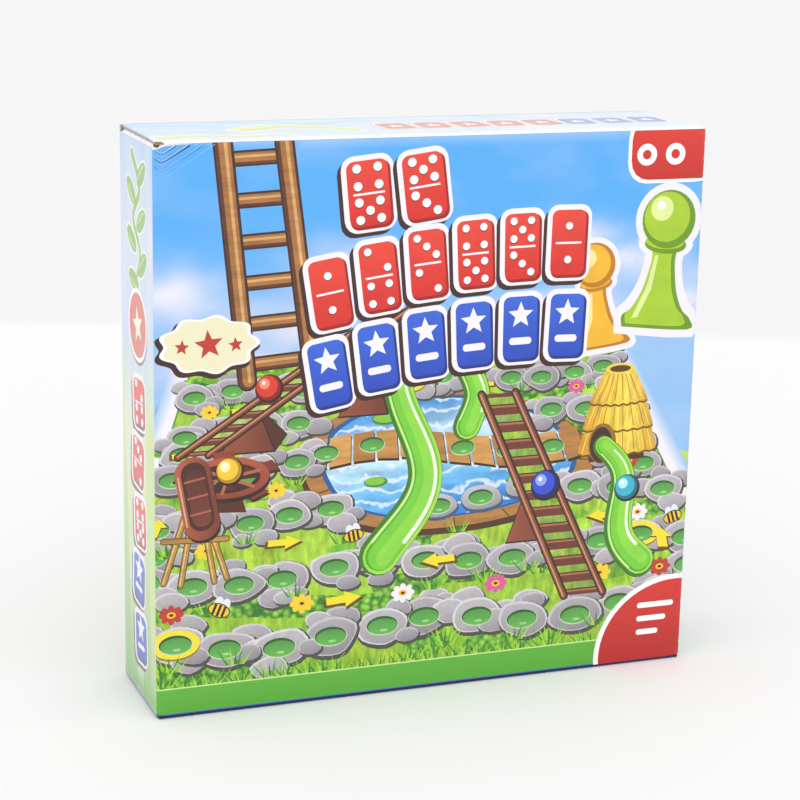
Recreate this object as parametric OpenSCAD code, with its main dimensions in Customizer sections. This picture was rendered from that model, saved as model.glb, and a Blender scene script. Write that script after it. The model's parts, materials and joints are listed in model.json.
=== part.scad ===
// Boxed snakes and ladders game: a standing tuck-top carton of fluted board,
// with its moulded game board, its insert tray and the plastic pieces packed inside.
// Millimetres. X runs across the carton, -Y is the printed front, Z is up.
// The origin is the middle of the carton's base.

/* [Carton] */
// Outside width
carton_w = 270; // [266:1:290]
// Outside height
carton_h = 268; // [264:1:290]
// Outside depth, front to back
carton_d = 62; // [60:1:72]
// Thickness of the fluted board
board_t = 1.5; // [1:0.1:1.8]
// Width of the glued seam flap inside the back left corner
seam_w = 15; // [8:1:20]

/* [Top closure] */
// How far each end of the cover stops short of the side
cover_inset = 1; // [0.5:0.1:3]
// Length of a dust flap from its crease
dust_len = 46; // [30:1:60]
// Taper of a dust flap's front edge, which lets it rise under the opening cover
dust_front_taper = 30; // [28:1:40]
// Taper of a dust flap's back edge
dust_back_taper = 8; // [4:1:15]
// Radius of a dust flap's tip corners
dust_tip_r = 4; // [2:0.5:6]
// Space between a dust flap and the front and back of the carton
dust_side_gap = 1; // [0.5:0.1:2]
// Length of the tuck flap
tuck_len = 16; // [10:0.5:17]
// Lean of the tuck flap from upright, which lets it swing clear of the back
tuck_lean = 14; // [13:0.5:18]
// Space between the cover's back edge and the back panel
tuck_gap = 0.3; // [0.2:0.05:0.6]
// How far each end of the tuck flap stops short of the cover's end
tuck_inset = 3; // [1:0.5:6]
// Radius of the tuck flap's corners
tuck_corner_r = 11; // [6:0.5:12]
// Space between flaps that lie on each other
flap_gap = 0.1; // [0.05:0.05:0.2]

/* [Insert] */
// Depth of the card insert, front to back
insert_depth = 36; // [35:0.5:38]
// Thickness of the insert's card
insert_t = 1; // [0.8:0.1:1.2]
// Space round the packed insert and board
pack_gap = 0.3; // [0.2:0.05:0.6]
// Room for fingers above the packed insert
head_space = 18; // [17:0.5:24]
// Space between a piece and what it rests on
rest_gap = 0.3; // [0.2:0.05:0.5]
// Space round the edges of a shelf or divider
card_gap = 0.1; // [0.05:0.05:0.2]
// Length of the tabs that lock a divider into its shelf
tab_len = 10; // [6:1:14]
// Room above the tallest piece of the top row
top_row_spare = 14; // [8:0.5:18]

/* [Game board] */
// Thickness of the board's moulded deck
deck_t = 1.6; // [1.2:0.1:2.4]
// Thickness of the printed sheet laid on the deck
overlay_t = 0.6; // [0.4:0.1:1]
// Margin of bare rim round the printed sheet
rim_w = 5; // [3:0.5:8]
// Radius of the mouth of a ball's resting place
pit_r = 6.6; // [6.2:0.1:7.5]
// Depth of a ball's resting place
pit_depth = 3.6; // [2.5:0.1:5]
// Number of resting places along a row
pit_columns = 8; // [6:1:8]
// Number of rows of resting places
pit_rows = 6; // [4:1:6]
// Radius of a peg that plugs into the board
peg_r = 2.5; // [2:0.1:3]
// Length of a peg
peg_len = 3; // [2:0.5:4]
// Space round a peg in its hole
peg_gap = 0.1; // [0.05:0.05:0.2]

/* [Snake slides] */
// Radius of the inside of a slide's channel
channel_r = 6.4; // [6.2:0.1:7]
// Wall of a slide's channel
channel_wall = 1.2; // [0.8:0.1:1.6]
// Height of a slide's channel
channel_h = 9; // [8:0.5:10]
// Length of the straight at each end of a slide
slide_lead = 8; // [6:0.5:9]
// Radius of the snake's head at a slide's top
slide_head_r = 10; // [9.5:0.1:11]
// Height of the post that holds up a slide's head
slide_post_h = 20; // [12:0.5:20]
// Radius of a slide's post
slide_post_r = 3.6; // [3.2:0.1:4.5]
// Length of the forked slide, as a share of its row's height
forked_share = 0.92; // [0.86:0.01:1]
// Angle of each bend of the forked slide's long run
forked_angle = 48; // [44:1:50]
// Bend radius of the forked slide's short run
fork_bend = 34; // [30:1:36]
// Angle of the forked slide's short run
fork_angle = 68; // [60:1:72]
// Length of the wavy slide, as a share of its row's height
wavy_share = 1; // [0.93:0.01:1]
// Largest angle of the wavy slide
wavy_angle = 62; // [54:1:66]
// Length of the short slide, as a share of its row's height
short_share = 0.635; // [0.59:0.005:0.66]
// Angle of each bend of the short slide
short_angle = 52; // [44:1:54]

/* [Ladders] */
// Length of the long tipping ladder, as a share of the insert's inside width
long_ladder_share = 0.52; // [0.46:0.005:0.53]
// Length of the short tipping ladder, as a share of the insert's inside width
short_ladder_share = 0.38; // [0.34:0.005:0.4]
// Length of the leaning ladder, as a share of its row's height
leaning_ladder_share = 0.97; // [0.85:0.01:1]
// Width of a ladder over its rails
ladder_w = 18; // [16:0.5:19]
// Thickness of a ladder's rail
rail_t = 1.8; // [1.4:0.1:2.2]
// Height of a ladder's rail
rail_h = 8; // [6:0.5:9]
// Spacing of the rungs
rung_pitch = 9; // [7:0.5:12]
// Thickness of a rung
rung_t = 2; // [1.5:0.1:2.5]
// Radius of a pivot pin
pivot_r = 1.6; // [1.4:0.1:2]
// Length of a pivot pin beyond the side that it stands on
pivot_len = 2; // [1.9:0.1:2.5]
// Radial clearance round a pivot pin
pivot_gap = 0.1; // [0.05:0.01:0.1]
// Space between a tipping piece and each cheek of its stand
cheek_gap = 0.3; // [0.2:0.05:0.4]
// Thickness of a trestle's cheek
cheek_t = 1.6; // [1.4:0.1:1.8]
// Height of a trestle
trestle_h = 24; // [21:0.5:25]
// Width of a trestle's foot
trestle_foot_w = 24; // [20:0.5:30]

/* [Paddle wheel] */
// Width of the wheel over its paddles, as a share of the insert's inside width
wheel_share = 0.214; // [0.192:0.002:0.22]
// Height of the wheel
wheel_h = 8; // [6:0.5:9]
// Number of paddles
wheel_paddles = 8; // [6:1:10]
// Thickness of a paddle
paddle_t = 1.4; // [1.2:0.1:1.8]
// Radius of the wheel's hub
hub_r = 6; // [5:0.5:8]
// Radius of the spindle that the wheel turns on
spindle_r = 2.5; // [2:0.1:3]
// Radial clearance between the spindle and the wheel's hub
spindle_gap = 0.1; // [0.05:0.01:0.1]
// Radius of the wheel's base
wheel_base_r = 16; // [14:0.5:20]

/* [Dipper] */
// Length of the dipper's arm, as a share of the insert's inside width
dipper_share = 0.23; // [0.2:0.005:0.235]
// Width of the dipper's arm
dipper_arm_w = 7; // [6:0.5:9]
// Thickness of the dipper's arm
dipper_arm_t = 3; // [2.5:0.1:3.5]
// Radius of the dipper's cup
dipper_cup_r = 8; // [7.6:0.1:9]
// Wall of the dipper's cup
dipper_wall = 1.2; // [0.8:0.1:1.4]
// Height of the dipper's stand
stand_h = 24; // [22:0.5:25]
// Length and width of the dipper's stand
stand_w = 24; // [22:0.5:26]

/* [Hut] */
// Width of the hut, as a share of the insert's inside width
hut_share = 0.176; // [0.154:0.002:0.184]
// Height of the hut, as a share of its width
hut_height_share = 1; // [0.8:0.05:1.2]
// Wall of the hut
hut_wall = 1.4; // [1:0.1:1.8]
// How far each thatched tier steps in from the one below
hut_step = 2.6; // [2:0.1:3.2]

/* [Small pieces] */
// Diameter of a ball
ball_d = 12; // [11:0.1:12.2]
// Edge of the die
die_edge = 12; // [10:0.5:14]
// Radius of the die's pips
pip_r = 1; // [0.8:0.1:1.2]
// Length of the snake's head
head_len = 24; // [20:0.5:28]
// Width of the folded rules leaflet
leaflet_w = 200; // [150:1:240]
// Height of the folded rules leaflet
leaflet_h = 140; // [100:1:200]
// Thickness of one leaf
leaf_t = 0.35; // [0.2:0.05:0.4]

/* [Hidden] */
$fn = 48;
overrun = 0.5;

// Half sizes and the levels of the carton's folds
half_w = carton_w / 2;
half_d = carton_d / 2;
cover_z = carton_h - board_t;
dust_z = cover_z - flap_gap - board_t;
cover_depth = carton_d - board_t - tuck_gap;
cover_half_w = half_w - cover_inset;

// The space that the packed goods fill
pack_w = carton_w - 4 * board_t - 2 * pack_gap;
pack_z = 3 * board_t + pack_gap;
pack_h = dust_z - head_space - pack_z;
pack_front_y = -half_d + board_t + pack_gap;
pack_back_y = half_d - board_t - pack_gap;
leaflet_t = 5 * leaf_t / 2;
leaflet_y = pack_front_y + insert_depth + pack_gap;
game_board_y = leaflet_y + leaflet_t + pack_gap;
game_board_t = pack_back_y - game_board_y;

// The insert has three rows of cells, and its middle row has what the others leave
cell_depth = insert_depth - insert_t;
inner_w = pack_w - 2 * insert_t;
trestle_w = ladder_w + 2 * (cheek_gap + cheek_t);
ladder_span = max(trestle_w, ladder_w + 2 * pivot_len);
wheel_r = wheel_share * inner_w / 2;
dipper_len = dipper_share * inner_w;
hut_w = hut_share * inner_w;
hut_h = hut_height_share * hut_w;
ladder_row_z = insert_t;
ladder_row_h = ladder_span + 2 * rest_gap;
small_row_h = max(2 * wheel_r, hut_h, head_len, stand_w) + 2 * rest_gap + top_row_spare;
small_row_z = pack_h - insert_t - small_row_h;
slide_row_z = ladder_row_z + ladder_row_h + insert_t;
slide_row_h = small_row_z - insert_t - slide_row_z;

// The long pieces fill their rows by their shares
row_len = slide_row_h - 2 * rest_gap;
long_ladder_len = long_ladder_share * inner_w;
short_ladder_len = short_ladder_share * inner_w;
leaning_ladder_len = leaning_ladder_share * row_len;
channel_out_r = channel_r + channel_wall;
cup_r = channel_out_r + channel_wall;
slide_ends = slide_head_r + 2 * slide_lead + cup_r;
forked_rise = forked_share * row_len - slide_ends;
wavy_rise = wavy_share * row_len - slide_ends;
short_rise = short_share * row_len - slide_ends;

// Bends that climb so far, and how far they and the fork reach sideways
forked_bend = forked_rise / sin(forked_angle) / 2;
wavy_bend = wavy_rise / sin(wavy_angle) / 4;
short_bend = short_rise / sin(short_angle) / 2;
forked_drift = 2 * forked_bend * (1 - cos(forked_angle));
fork_reach = fork_bend * (1 - cos(fork_angle));
forked_w = forked_drift + fork_reach + 2 * cup_r;
wavy_w = 2 * wavy_bend * (1 - cos(wavy_angle)) + channel_out_r + slide_head_r;
short_w = 2 * short_bend * (1 - cos(short_angle)) + cup_r + slide_head_r;

// Sizes of the other packed pieces that follow from the named ones
trestle_top_w = 3 * pivot_r + 2 * cheek_t;
ladder_pivot_z = trestle_h - trestle_top_w / 2;
wheel_base_t = cheek_t;
wheel_rise = cheek_gap;
wheel_rim_r = wheel_r - 2 * hub_r / 3;
dipper_pivot_z = stand_h - dipper_arm_t;
head_w = 4 * head_len / 5;
head_t = 2 * head_w / 3;
ball_step = ball_d + rest_gap;

// Each cell is as wide as its piece, and each row shares what is left among its cells
ladder_cells = [long_ladder_len, short_ladder_len];
slide_cells = [forked_w, wavy_w, short_w, ladder_w];
small_cells = [2 * wheel_r, dipper_len, hut_w, head_w, 2 * ball_d, die_edge];

function sum_to(widths, i) = i < 0 ? 0 : widths[i] + sum_to(widths, i - 1);
function cell_spare(widths) =
    (inner_w - sum_to(widths, len(widths) - 1) - (len(widths) - 1) * insert_t) / len(widths);
// Middle of cell i of a row, and the left face of the divider on its right
function cell_x(widths, i) =
    -inner_w / 2 + sum_to(widths, i - 1) + widths[i] / 2 + i * (cell_spare(widths) + insert_t)
    + cell_spare(widths) / 2;
function divider_x(widths, i) = cell_x(widths, i) + (widths[i] + cell_spare(widths)) / 2;

// Points along an arc in the plane
function arc_points(cx, cy, r, from, to, steps = 6) =
    [for (i = [0:steps]) let (a = from + (to - from) * i / steps) [cx + r * cos(a), cy + r * sin(a)]];

// Wall panel seen from above: a strip whose two ends turn the carton's corners
module wrap_plan() {
    translate([board_t - half_w, -half_d]) square([carton_w - 2 * board_t, board_t]);
    for (sx = [-1, 1]) intersection() {
        translate([sx * (half_w - board_t), board_t - half_d]) circle(board_t);
        translate([sx * (half_w - board_t / 2) - board_t / 2, -half_d]) square(board_t);
    }
}

module front_panel() {
    color("deepskyblue")
        translate([0, 0, board_t]) linear_extrude(cover_z - board_t) wrap_plan();
}

module back_panel() {
    color("skyblue")
        translate([0, 0, board_t]) rotate([0, 0, 180]) linear_extrude(carton_h - board_t) wrap_plan();
}

module side_panel(side) {
    color("lightskyblue")
        translate([side * (half_w - board_t / 2) - board_t / 2, board_t - half_d, board_t])
            cube([board_t, carton_d - 2 * board_t, dust_z - board_t]);
}

// The seam flap carries on from the back panel and is glued inside the left side
module seam_flap() {
    flap_h = dust_z - 3 * board_t;
    color("burlywood")
        translate([board_t - half_w, half_d - board_t, 3 * board_t])
            rotate([90, 0, 90]) linear_extrude(board_t)
                polygon([[0, 0], [0, flap_h], [-seam_w, flap_h - seam_w], [-seam_w, seam_w]]);
}

// Section of a flap of the given depth. Its crease edge, at x = 0, is rounded outside,
// and so is its far edge when that is a fold too.
module flap_section(depth, far_fold) {
    flat_end = far_fold ? depth - board_t : depth;
    translate([board_t, 0]) square([flat_end - board_t, board_t]);
    intersection() {
        translate([board_t, 0]) circle(board_t);
        square(board_t);
    }
    if (far_fold) intersection() {
        translate([flat_end, 0]) circle(board_t);
        translate([flat_end, 0]) square(board_t);
    }
}

// Draws a section the given length along X, with the section's x along +Y
module along_x(length) {
    translate([-length / 2, 0, 0]) rotate([90, 0, 90]) linear_extrude(length) children();
}

module bottom_outer_flap() {
    color("navy")
        translate([0, -half_d, board_t]) mirror([0, 0, 1]) along_x(2 * cover_half_w)
            flap_section(carton_d, true);
}

module bottom_inner_flap() {
    flap_w = carton_w - 2 * (board_t + flap_gap);
    flap_d = carton_d - 2 * board_t;
    color("burlywood") translate([-flap_w / 2, -flap_d / 2, board_t]) cube([flap_w, flap_d, board_t]);
}

// Outline of a dust flap: x runs from its crease, y from the carton's front
module dust_outline() {
    front = board_t + dust_side_gap;
    back = carton_d - 2 * (board_t + dust_side_gap) - tuck_gap - board_t * tan(tuck_lean);
    tip_front = front + dust_len * tan(dust_front_taper);
    tip_back = back - dust_len * tan(dust_back_taper);
    tip_x = dust_len - dust_tip_r;
    polygon(concat(
        [[0, front], [0, back]],
        arc_points(tip_x, tip_back - dust_tip_r, dust_tip_r, 90 - dust_back_taper, 0),
        arc_points(tip_x, tip_front + dust_tip_r, dust_tip_r, 0, dust_front_taper - 90)
    ));
}

// A dust flap on the left or right, creased at the given distance from the carton's middle
module dust_flap(side, crease_x, z) {
    color("gainsboro") mirror([side > 0 ? 1 : 0, 0, 0]) translate([-crease_x, -half_d, z])
        linear_extrude(board_t) dust_outline();
}

module top_dust_flap(side) {
    dust_flap(side, half_w, dust_z);
}

module bottom_dust_flap(side) {
    dust_flap(side, half_w - board_t - flap_gap, 2 * board_t);
}

module top_cover() {
    color("paleturquoise")
        translate([0, -half_d, cover_z]) along_x(2 * cover_half_w) flap_section(cover_depth, false);
}

// The tuck flap leans inwards from the cover's back edge
module top_tuck_flap() {
    flap_w = 2 * (cover_half_w - tuck_inset);
    start = (board_t * sin(tuck_lean) + flap_gap) / cos(tuck_lean);
    corner_x = flap_w / 2 - tuck_corner_r;
    corner_y = tuck_corner_r - tuck_len;
    color("paleturquoise")
        translate([0, cover_depth - half_d, cover_z]) rotate([90 - tuck_lean, 0, 0])
            linear_extrude(board_t) polygon(concat(
                [[-flap_w / 2, -start], [flap_w / 2, -start]],
                arc_points(corner_x, corner_y, tuck_corner_r, 0, -90),
                arc_points(-corner_x, corner_y, tuck_corner_r, -90, -180)
            ));
}

// Stands up what is drawn flat, with its y along Z and its z towards the carton's front
module upright(x, y, z) {
    translate([x, y, z]) rotate([90, 0, 0]) children();
}

// Places a piece, drawn on the insert's back with its middle at x = 0, in a cell
module in_cell(widths, i, row_z) {
    upright(cell_x(widths, i), pack_front_y + cell_depth - rest_gap, pack_z + row_z + rest_gap) children();
}

// Folded card tray, open at the front
module insert_tray() {
    color("whitesmoke") upright(0, pack_front_y + insert_depth, pack_z) {
        translate([-pack_w / 2, 0, 0]) cube([pack_w, pack_h, insert_t]);
        difference() {
            linear_extrude(insert_depth) difference() {
                translate([-pack_w / 2, 0]) square([pack_w, pack_h]);
                translate([-inner_w / 2, insert_t]) square([inner_w, pack_h - 2 * insert_t]);
            }
            for (x = tab_places(small_cells))
                translate([x, pack_h - insert_t - overrun, insert_t + card_gap + tab_z]) tab_slot();
            for (x = tab_places(ladder_cells))
                translate([x, -overrun, insert_t + card_gap + tab_z]) tab_slot();
        }
    }
}

// Where the dividers of a row stand, and how far from their back edges their tabs' middles lie
function tab_places(widths) = [for (i = [0:len(widths) - 2]) divider_x(widths, i)];
tab_z = cell_depth / 2;

// Slot through a shelf or wall for a divider's tab, at the divider's left face
module tab_slot() {
    translate([-card_gap, 0, -tab_len / 2 - card_gap])
        cube([insert_t + 2 * card_gap, insert_t + 2 * overrun, tab_len + 2 * card_gap]);
}

// Shelf across the insert, with slots for the tabs of the dividers above and below it
module shelf(z, slot_places) {
    color("whitesmoke") upright(0, pack_front_y + cell_depth - card_gap, pack_z + z) difference() {
        translate([card_gap - inner_w / 2, 0, 0])
            cube([inner_w - 2 * card_gap, insert_t, cell_depth - card_gap]);
        for (x = slot_places) translate([x, -overrun, tab_z]) tab_slot();
    }
}

module lower_shelf() {
    shelf(slide_row_z - insert_t, tab_places(slide_cells));
}

module upper_shelf() {
    shelf(small_row_z - insert_t, []);
}

// Divider on the right of cell i, with a tab at its upper or its lower end
module divider(widths, i, row_z, row_h, tab_up) {
    tab_h = insert_t + card_gap + overrun;
    tab_start = tab_up ? row_z + row_h + insert_t - tab_h : row_z - insert_t;
    color("whitesmoke") upright(divider_x(widths, i), pack_front_y + cell_depth - card_gap, pack_z) {
        translate([0, row_z + card_gap, 0]) cube([insert_t, row_h - 2 * card_gap, cell_depth - card_gap]);
        translate([0, tab_start, tab_z - tab_len / 2]) cube([insert_t, tab_h, tab_len]);
    }
}

module ladder_divider() {
    divider(ladder_cells, 0, ladder_row_z, ladder_row_h, false);
}

module slide_divider(i) {
    divider(slide_cells, i, slide_row_z, slide_row_h, false);
}

module small_divider(i) {
    divider(small_cells, i, small_row_z, small_row_h, true);
}

// Two leaves joined by a fold at their left edge
module rules_leaflet() {
    color("ivory") upright(0, leaflet_y + leaflet_t, pack_z) {
        for (z = [0, leaflet_t - leaf_t])
            translate([-leaflet_w / 2, 0, z]) cube([leaflet_w, leaflet_h, leaf_t]);
        translate([-leaflet_w / 2, 0, 0]) cube([leaf_t, leaflet_h, leaflet_t]);
    }
}

// Resting places for the balls, in rows that the players walk back and forth
pit_pitch_x = (pack_w - 2 * rim_w - 4 * pit_r) / (pit_columns - 1);
pit_pitch_y = (pack_h - 2 * rim_w - 4 * pit_r) / (pit_rows - 1);
pit_floor_r = pit_r * 2 / 3;
pits = [
    for (c = [0:pit_columns - 1], r = [0:pit_rows - 1])
        [(c - (pit_columns - 1) / 2) * pit_pitch_x, rim_w + 2 * pit_r + r * pit_pitch_y]
];
// Blind sockets for the pegs, each midway between four resting places
peg_cells = [[1, 3], [4, 2], [5, 3], [2, 0], [4, 0], [3, 1]];
peg_places = [
    for (c = peg_cells) if (c[0] < pit_columns - 1 && c[1] < pit_rows - 1)
        pits[c[0] * pit_rows + c[1]] + [pit_pitch_x / 2, pit_pitch_y / 2]
];
socket_depth = peg_len + rest_gap - overlay_t;
deck_z = game_board_t - overlay_t - deck_t;

// Rectangle on the game board, the given distance inside its edge
module board_area(inset) {
    translate([inset - pack_w / 2, inset]) square([pack_w - 2 * inset, pack_h - 2 * inset]);
}

module game_board_base() {
    color("limegreen") upright(0, game_board_y + game_board_t, pack_z) difference() {
        union() {
            linear_extrude(game_board_t) difference() {
                board_area(0);
                board_area(deck_t);
            }
            translate([0, 0, deck_z]) linear_extrude(overlay_t + deck_t) difference() {
                board_area(0);
                board_area(rim_w);
            }
            translate([0, 0, deck_z]) linear_extrude(deck_t) board_area(0);
            for (p = pits) translate([p[0], p[1], deck_z - pit_depth])
                cylinder(r1 = pit_floor_r + deck_t, r2 = pit_r + deck_t, h = pit_depth + deck_t / 2);
            for (p = peg_places) translate([p[0], p[1], deck_z - socket_depth])
                cylinder(r = peg_r + peg_gap + deck_t, h = socket_depth + deck_t / 2);
        }
        for (p = pits) translate([p[0], p[1], deck_z + deck_t - pit_depth])
            cylinder(r1 = pit_floor_r, r2 = pit_r, h = pit_depth);
        for (p = peg_places) translate([p[0], p[1], deck_z + deck_t - socket_depth])
            cylinder(r = peg_r + peg_gap, h = socket_depth);
    }
}

module game_board_sheet() {
    color("yellowgreen") upright(0, game_board_y + overlay_t, pack_z) linear_extrude(overlay_t)
        difference() {
            board_area(rim_w + peg_gap);
            for (p = pits) translate([p[0], p[1]]) circle(pit_r + peg_gap);
            for (p = peg_places) translate([p[0], p[1]]) circle(peg_r + peg_gap);
        }
}

// A slide is drawn in plan as a run of bends. A bend is [radius, angle], where a positive
// angle turns left, or [0, length] for a straight. A pose is [x, y, heading]. A bend has a
// pose at least every bend_step degrees.
bend_step = 5;
function bend_end(p, bend) =
    bend[0] == 0 ? [p[0] + bend[1] * cos(p[2]), p[1] + bend[1] * sin(p[2]), p[2]]
    : let (r = sign(bend[1]) * bend[0], heading = p[2] + bend[1])
        [p[0] + r * (sin(heading) - sin(p[2])), p[1] - r * (cos(heading) - cos(p[2])), heading];
function bend_poses(p, bend) =
    bend[0] == 0 ? [p]
    : let (steps = ceil(abs(bend[1]) / bend_step))
        [for (k = [0:steps - 1]) bend_end(p, [bend[0], bend[1] * k / steps])];
function run_poses(bends, p = [0, 0, 0], i = 0) =
    i == len(bends) ? [p] : concat(bend_poses(p, bends[i]), run_poses(bends, bend_end(p, bends[i]), i + 1));

// Plan of a run, the given distance either side of its middle
module run_plan(poses, side) {
    last = len(poses) - 1;
    polygon(concat(
        [for (p = poses) [p[0] + side * sin(p[2]), p[1] - side * cos(p[2])]],
        [for (k = [0:last]) let (p = poses[last - k]) [p[0] - side * sin(p[2]), p[1] + side * cos(p[2])]]
    ));
}

// Plan of a whole slide: a round head, its runs and a round cup at the foot of each
module slide_plan(runs, wall) {
    circle(slide_head_r - wall);
    for (bends = runs) {
        poses = run_poses(bends);
        foot = poses[len(poses) - 1];
        run_plan(poses, channel_out_r - wall);
        translate([foot[0], foot[1]]) circle(cup_r - wall);
    }
}

// Snake slide that drops along +X from its head at the origin, with its floor at z = 0
module snake_slide(runs) {
    eye_r = slide_head_r / 5;
    difference() {
        linear_extrude(channel_h) slide_plan(runs, 0);
        translate([0, 0, channel_wall]) linear_extrude(channel_h) slide_plan(runs, channel_wall);
    }
    for (sy = [-1, 1])
        translate([-slide_head_r / 2, sy * (slide_head_r - eye_r), channel_h - eye_r / 2]) sphere(eye_r);
    translate([0, 0, peg_len - slide_post_h])
        cylinder(r = slide_post_r, h = slide_post_h - peg_len + channel_wall / 2);
    translate([0, 0, -slide_post_h]) cylinder(r = peg_r, h = slide_post_h);
}

// Turns a slide so that it drops down its cell from a head near the cell's top
module slide_in_cell(i, head_x, length) {
    in_cell(slide_cells, i, slide_row_z)
        translate([head_x, length - slide_head_r, slide_post_h]) rotate([0, 0, -90]) children();
}

module forked_snake_slide() {
    straight = [0, slide_lead];
    color("lawngreen")
        slide_in_cell(0, (fork_reach - forked_drift) / 2, forked_rise + slide_ends) snake_slide([
            [straight, [forked_bend, forked_angle], [forked_bend, -forked_angle], straight],
            [straight, [fork_bend, -fork_angle]]
        ]);
}

module wavy_snake_slide() {
    straight = [0, slide_lead];
    color("limegreen") slide_in_cell(1, slide_head_r - wavy_w / 2, wavy_rise + slide_ends) snake_slide([
        [straight, [wavy_bend, wavy_angle], [wavy_bend, -2 * wavy_angle], [wavy_bend, wavy_angle], straight]
    ]);
}

module short_snake_slide() {
    straight = [0, slide_lead];
    color("lawngreen") slide_in_cell(2, slide_head_r - short_w / 2, short_rise + slide_ends) snake_slide([
        [straight, [short_bend, short_angle], [short_bend, -short_angle], straight]
    ]);
}

// Two rails joined by their end pieces and by rungs, along +Y with its middle at the origin
module ladder(length) {
    rungs = floor((length - 2 * rung_pitch) / rung_pitch);
    for (sx = [-1, 1])
        translate([sx * (ladder_w - rail_t) / 2 - rail_t / 2, -length / 2, 0])
            cube([rail_t, length, rail_h]);
    for (sy = [-1, 1])
        translate([-ladder_w / 2, sy * (length - rail_t) / 2 - rail_t / 2, 0])
            cube([ladder_w, rail_t, rail_h]);
    for (i = [0:rungs])
        translate([(rail_t - ladder_w) / 2, (i - rungs / 2) * rung_pitch - rung_t / 2, 0])
            cube([ladder_w - rail_t, rung_t, rung_t]);
}

// Ladder with a pivot pin on each rail, lying along its cell on its trestle
module tipping_ladder(i, length) {
    in_cell(ladder_cells, i, ladder_row_z)
        translate([0, ladder_span / 2, ladder_pivot_z]) rotate([0, 0, 90]) {
            translate([0, 0, -rail_h / 2]) ladder(length);
            for (sx = [-1, 1])
                translate([sx * (ladder_w + pivot_len - rail_t / 2) / 2, 0, 0]) rotate([0, 90, 0])
                    cylinder(r = pivot_r, h = pivot_len + rail_t / 2, center = true);
        }
}

module long_ladder() {
    color("saddlebrown") tipping_ladder(0, long_ladder_len);
}

module short_ladder() {
    color("sienna") tipping_ladder(1, short_ladder_len);
}

module leaning_ladder() {
    color("saddlebrown") in_cell(slide_cells, 3, slide_row_z) translate([0, leaning_ladder_len / 2, 0])
        ladder(leaning_ladder_len);
}

// Two A-shaped cheeks with pivot holes, on a foot plate
module trestle(i) {
    in_cell(ladder_cells, i, ladder_row_z) translate([0, (ladder_span - trestle_w) / 2, 0]) {
        for (y = [cheek_t, trestle_w])
            translate([0, y, 0]) rotate([90, 0, 0]) linear_extrude(cheek_t) difference() {
                polygon([
                    [-trestle_foot_w / 2, 0], [trestle_foot_w / 2, 0],
                    [trestle_top_w / 2, trestle_h], [-trestle_top_w / 2, trestle_h]
                ]);
                translate([0, ladder_pivot_z]) circle(pivot_r + pivot_gap);
            }
        translate([-trestle_foot_w / 2, 0, 0]) cube([trestle_foot_w, trestle_w, cheek_t]);
    }
}

module long_ladder_trestle() {
    color("sienna") trestle(0);
}

module short_ladder_trestle() {
    color("saddlebrown") trestle(1);
}

// Wheel whose paddles stand on a thin web between its hub and its rim
module paddle_wheel() {
    color("firebrick") in_cell(small_cells, 0, small_row_z)
        translate([0, wheel_r, wheel_base_t + wheel_rise]) difference() {
            union() {
                cylinder(r = hub_r, h = wheel_h);
                cylinder(r = wheel_rim_r, h = paddle_t);
                linear_extrude(wheel_h / 2) difference() {
                    circle(wheel_rim_r);
                    circle(wheel_rim_r - paddle_t);
                }
                for (i = [0:wheel_paddles - 1]) rotate([0, 0, i * 360 / wheel_paddles])
                    translate([hub_r / 2, -paddle_t / 2, 0])
                        cube([wheel_r - (hub_r + paddle_t) / 2, paddle_t, wheel_h]);
            }
            translate([0, 0, -overrun])
                cylinder(r = spindle_r + spindle_gap, h = wheel_h + 2 * overrun);
        }
}

// Base that the wheel turns on, with its spindle
module wheel_base() {
    color("maroon") in_cell(small_cells, 0, small_row_z) translate([0, wheel_r, 0]) {
        cylinder(r = wheel_base_r, h = wheel_base_t);
        cylinder(r = spindle_r, h = wheel_base_t + wheel_rise + wheel_h + spindle_r / 2);
    }
}

// Puts what is drawn round the dipper's pivot, with its arm along +Y, in the dipper's cell
module on_dipper_stand() {
    in_cell(small_cells, 1, small_row_z)
        translate([0, stand_w / 2, dipper_pivot_z]) rotate([0, 0, -90]) children();
}

fork_gap = dipper_arm_w + 2 * cheek_gap;

// Arm with an open cup at one end and a pin through its middle
module dipper_lever() {
    cup_y = dipper_len / 2 - dipper_cup_r;
    color("brown") on_dipper_stand() difference() {
        union() {
            translate([-dipper_arm_w / 2, -dipper_len / 2, -dipper_arm_t / 2])
                cube([dipper_arm_w, dipper_len / 2 + cup_y, dipper_arm_t]);
            translate([0, cup_y, -dipper_arm_t / 2]) cylinder(r = dipper_cup_r, h = 3 * dipper_arm_t);
            rotate([0, 90, 0]) cylinder(r = dipper_arm_t, h = dipper_arm_w, center = true);
            rotate([0, 90, 0]) cylinder(r = pivot_r, h = fork_gap + 2 * dipper_arm_t, center = true);
        }
        translate([0, cup_y, dipper_wall - dipper_arm_t / 2])
            cylinder(r = dipper_cup_r - dipper_wall, h = 3 * dipper_arm_t);
    }
}

// Square frame with two open A-shaped cheeks that hold the dipper's pin
module dipper_stand() {
    bar = dipper_arm_t;
    color("peru") on_dipper_stand() translate([0, 0, -dipper_pivot_z]) {
        linear_extrude(bar) difference() {
            square(stand_w, center = true);
            square(stand_w - 2 * bar, center = true);
        }
        for (sx = [-1, 1])
            translate([sx * (fork_gap + bar) / 2 - bar / 2, 0, 0]) rotate([90, 0, 90])
                linear_extrude(bar) difference() {
                    polygon([
                        [-stand_w / 2, 0], [bar - stand_w / 2, 0], [0, stand_h - 3 * bar],
                        [stand_w / 2 - bar, 0], [stand_w / 2, 0], [bar, stand_h], [-bar, stand_h]
                    ]);
                    translate([0, dipper_pivot_z]) circle(pivot_r + pivot_gap);
                }
    }
}

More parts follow.
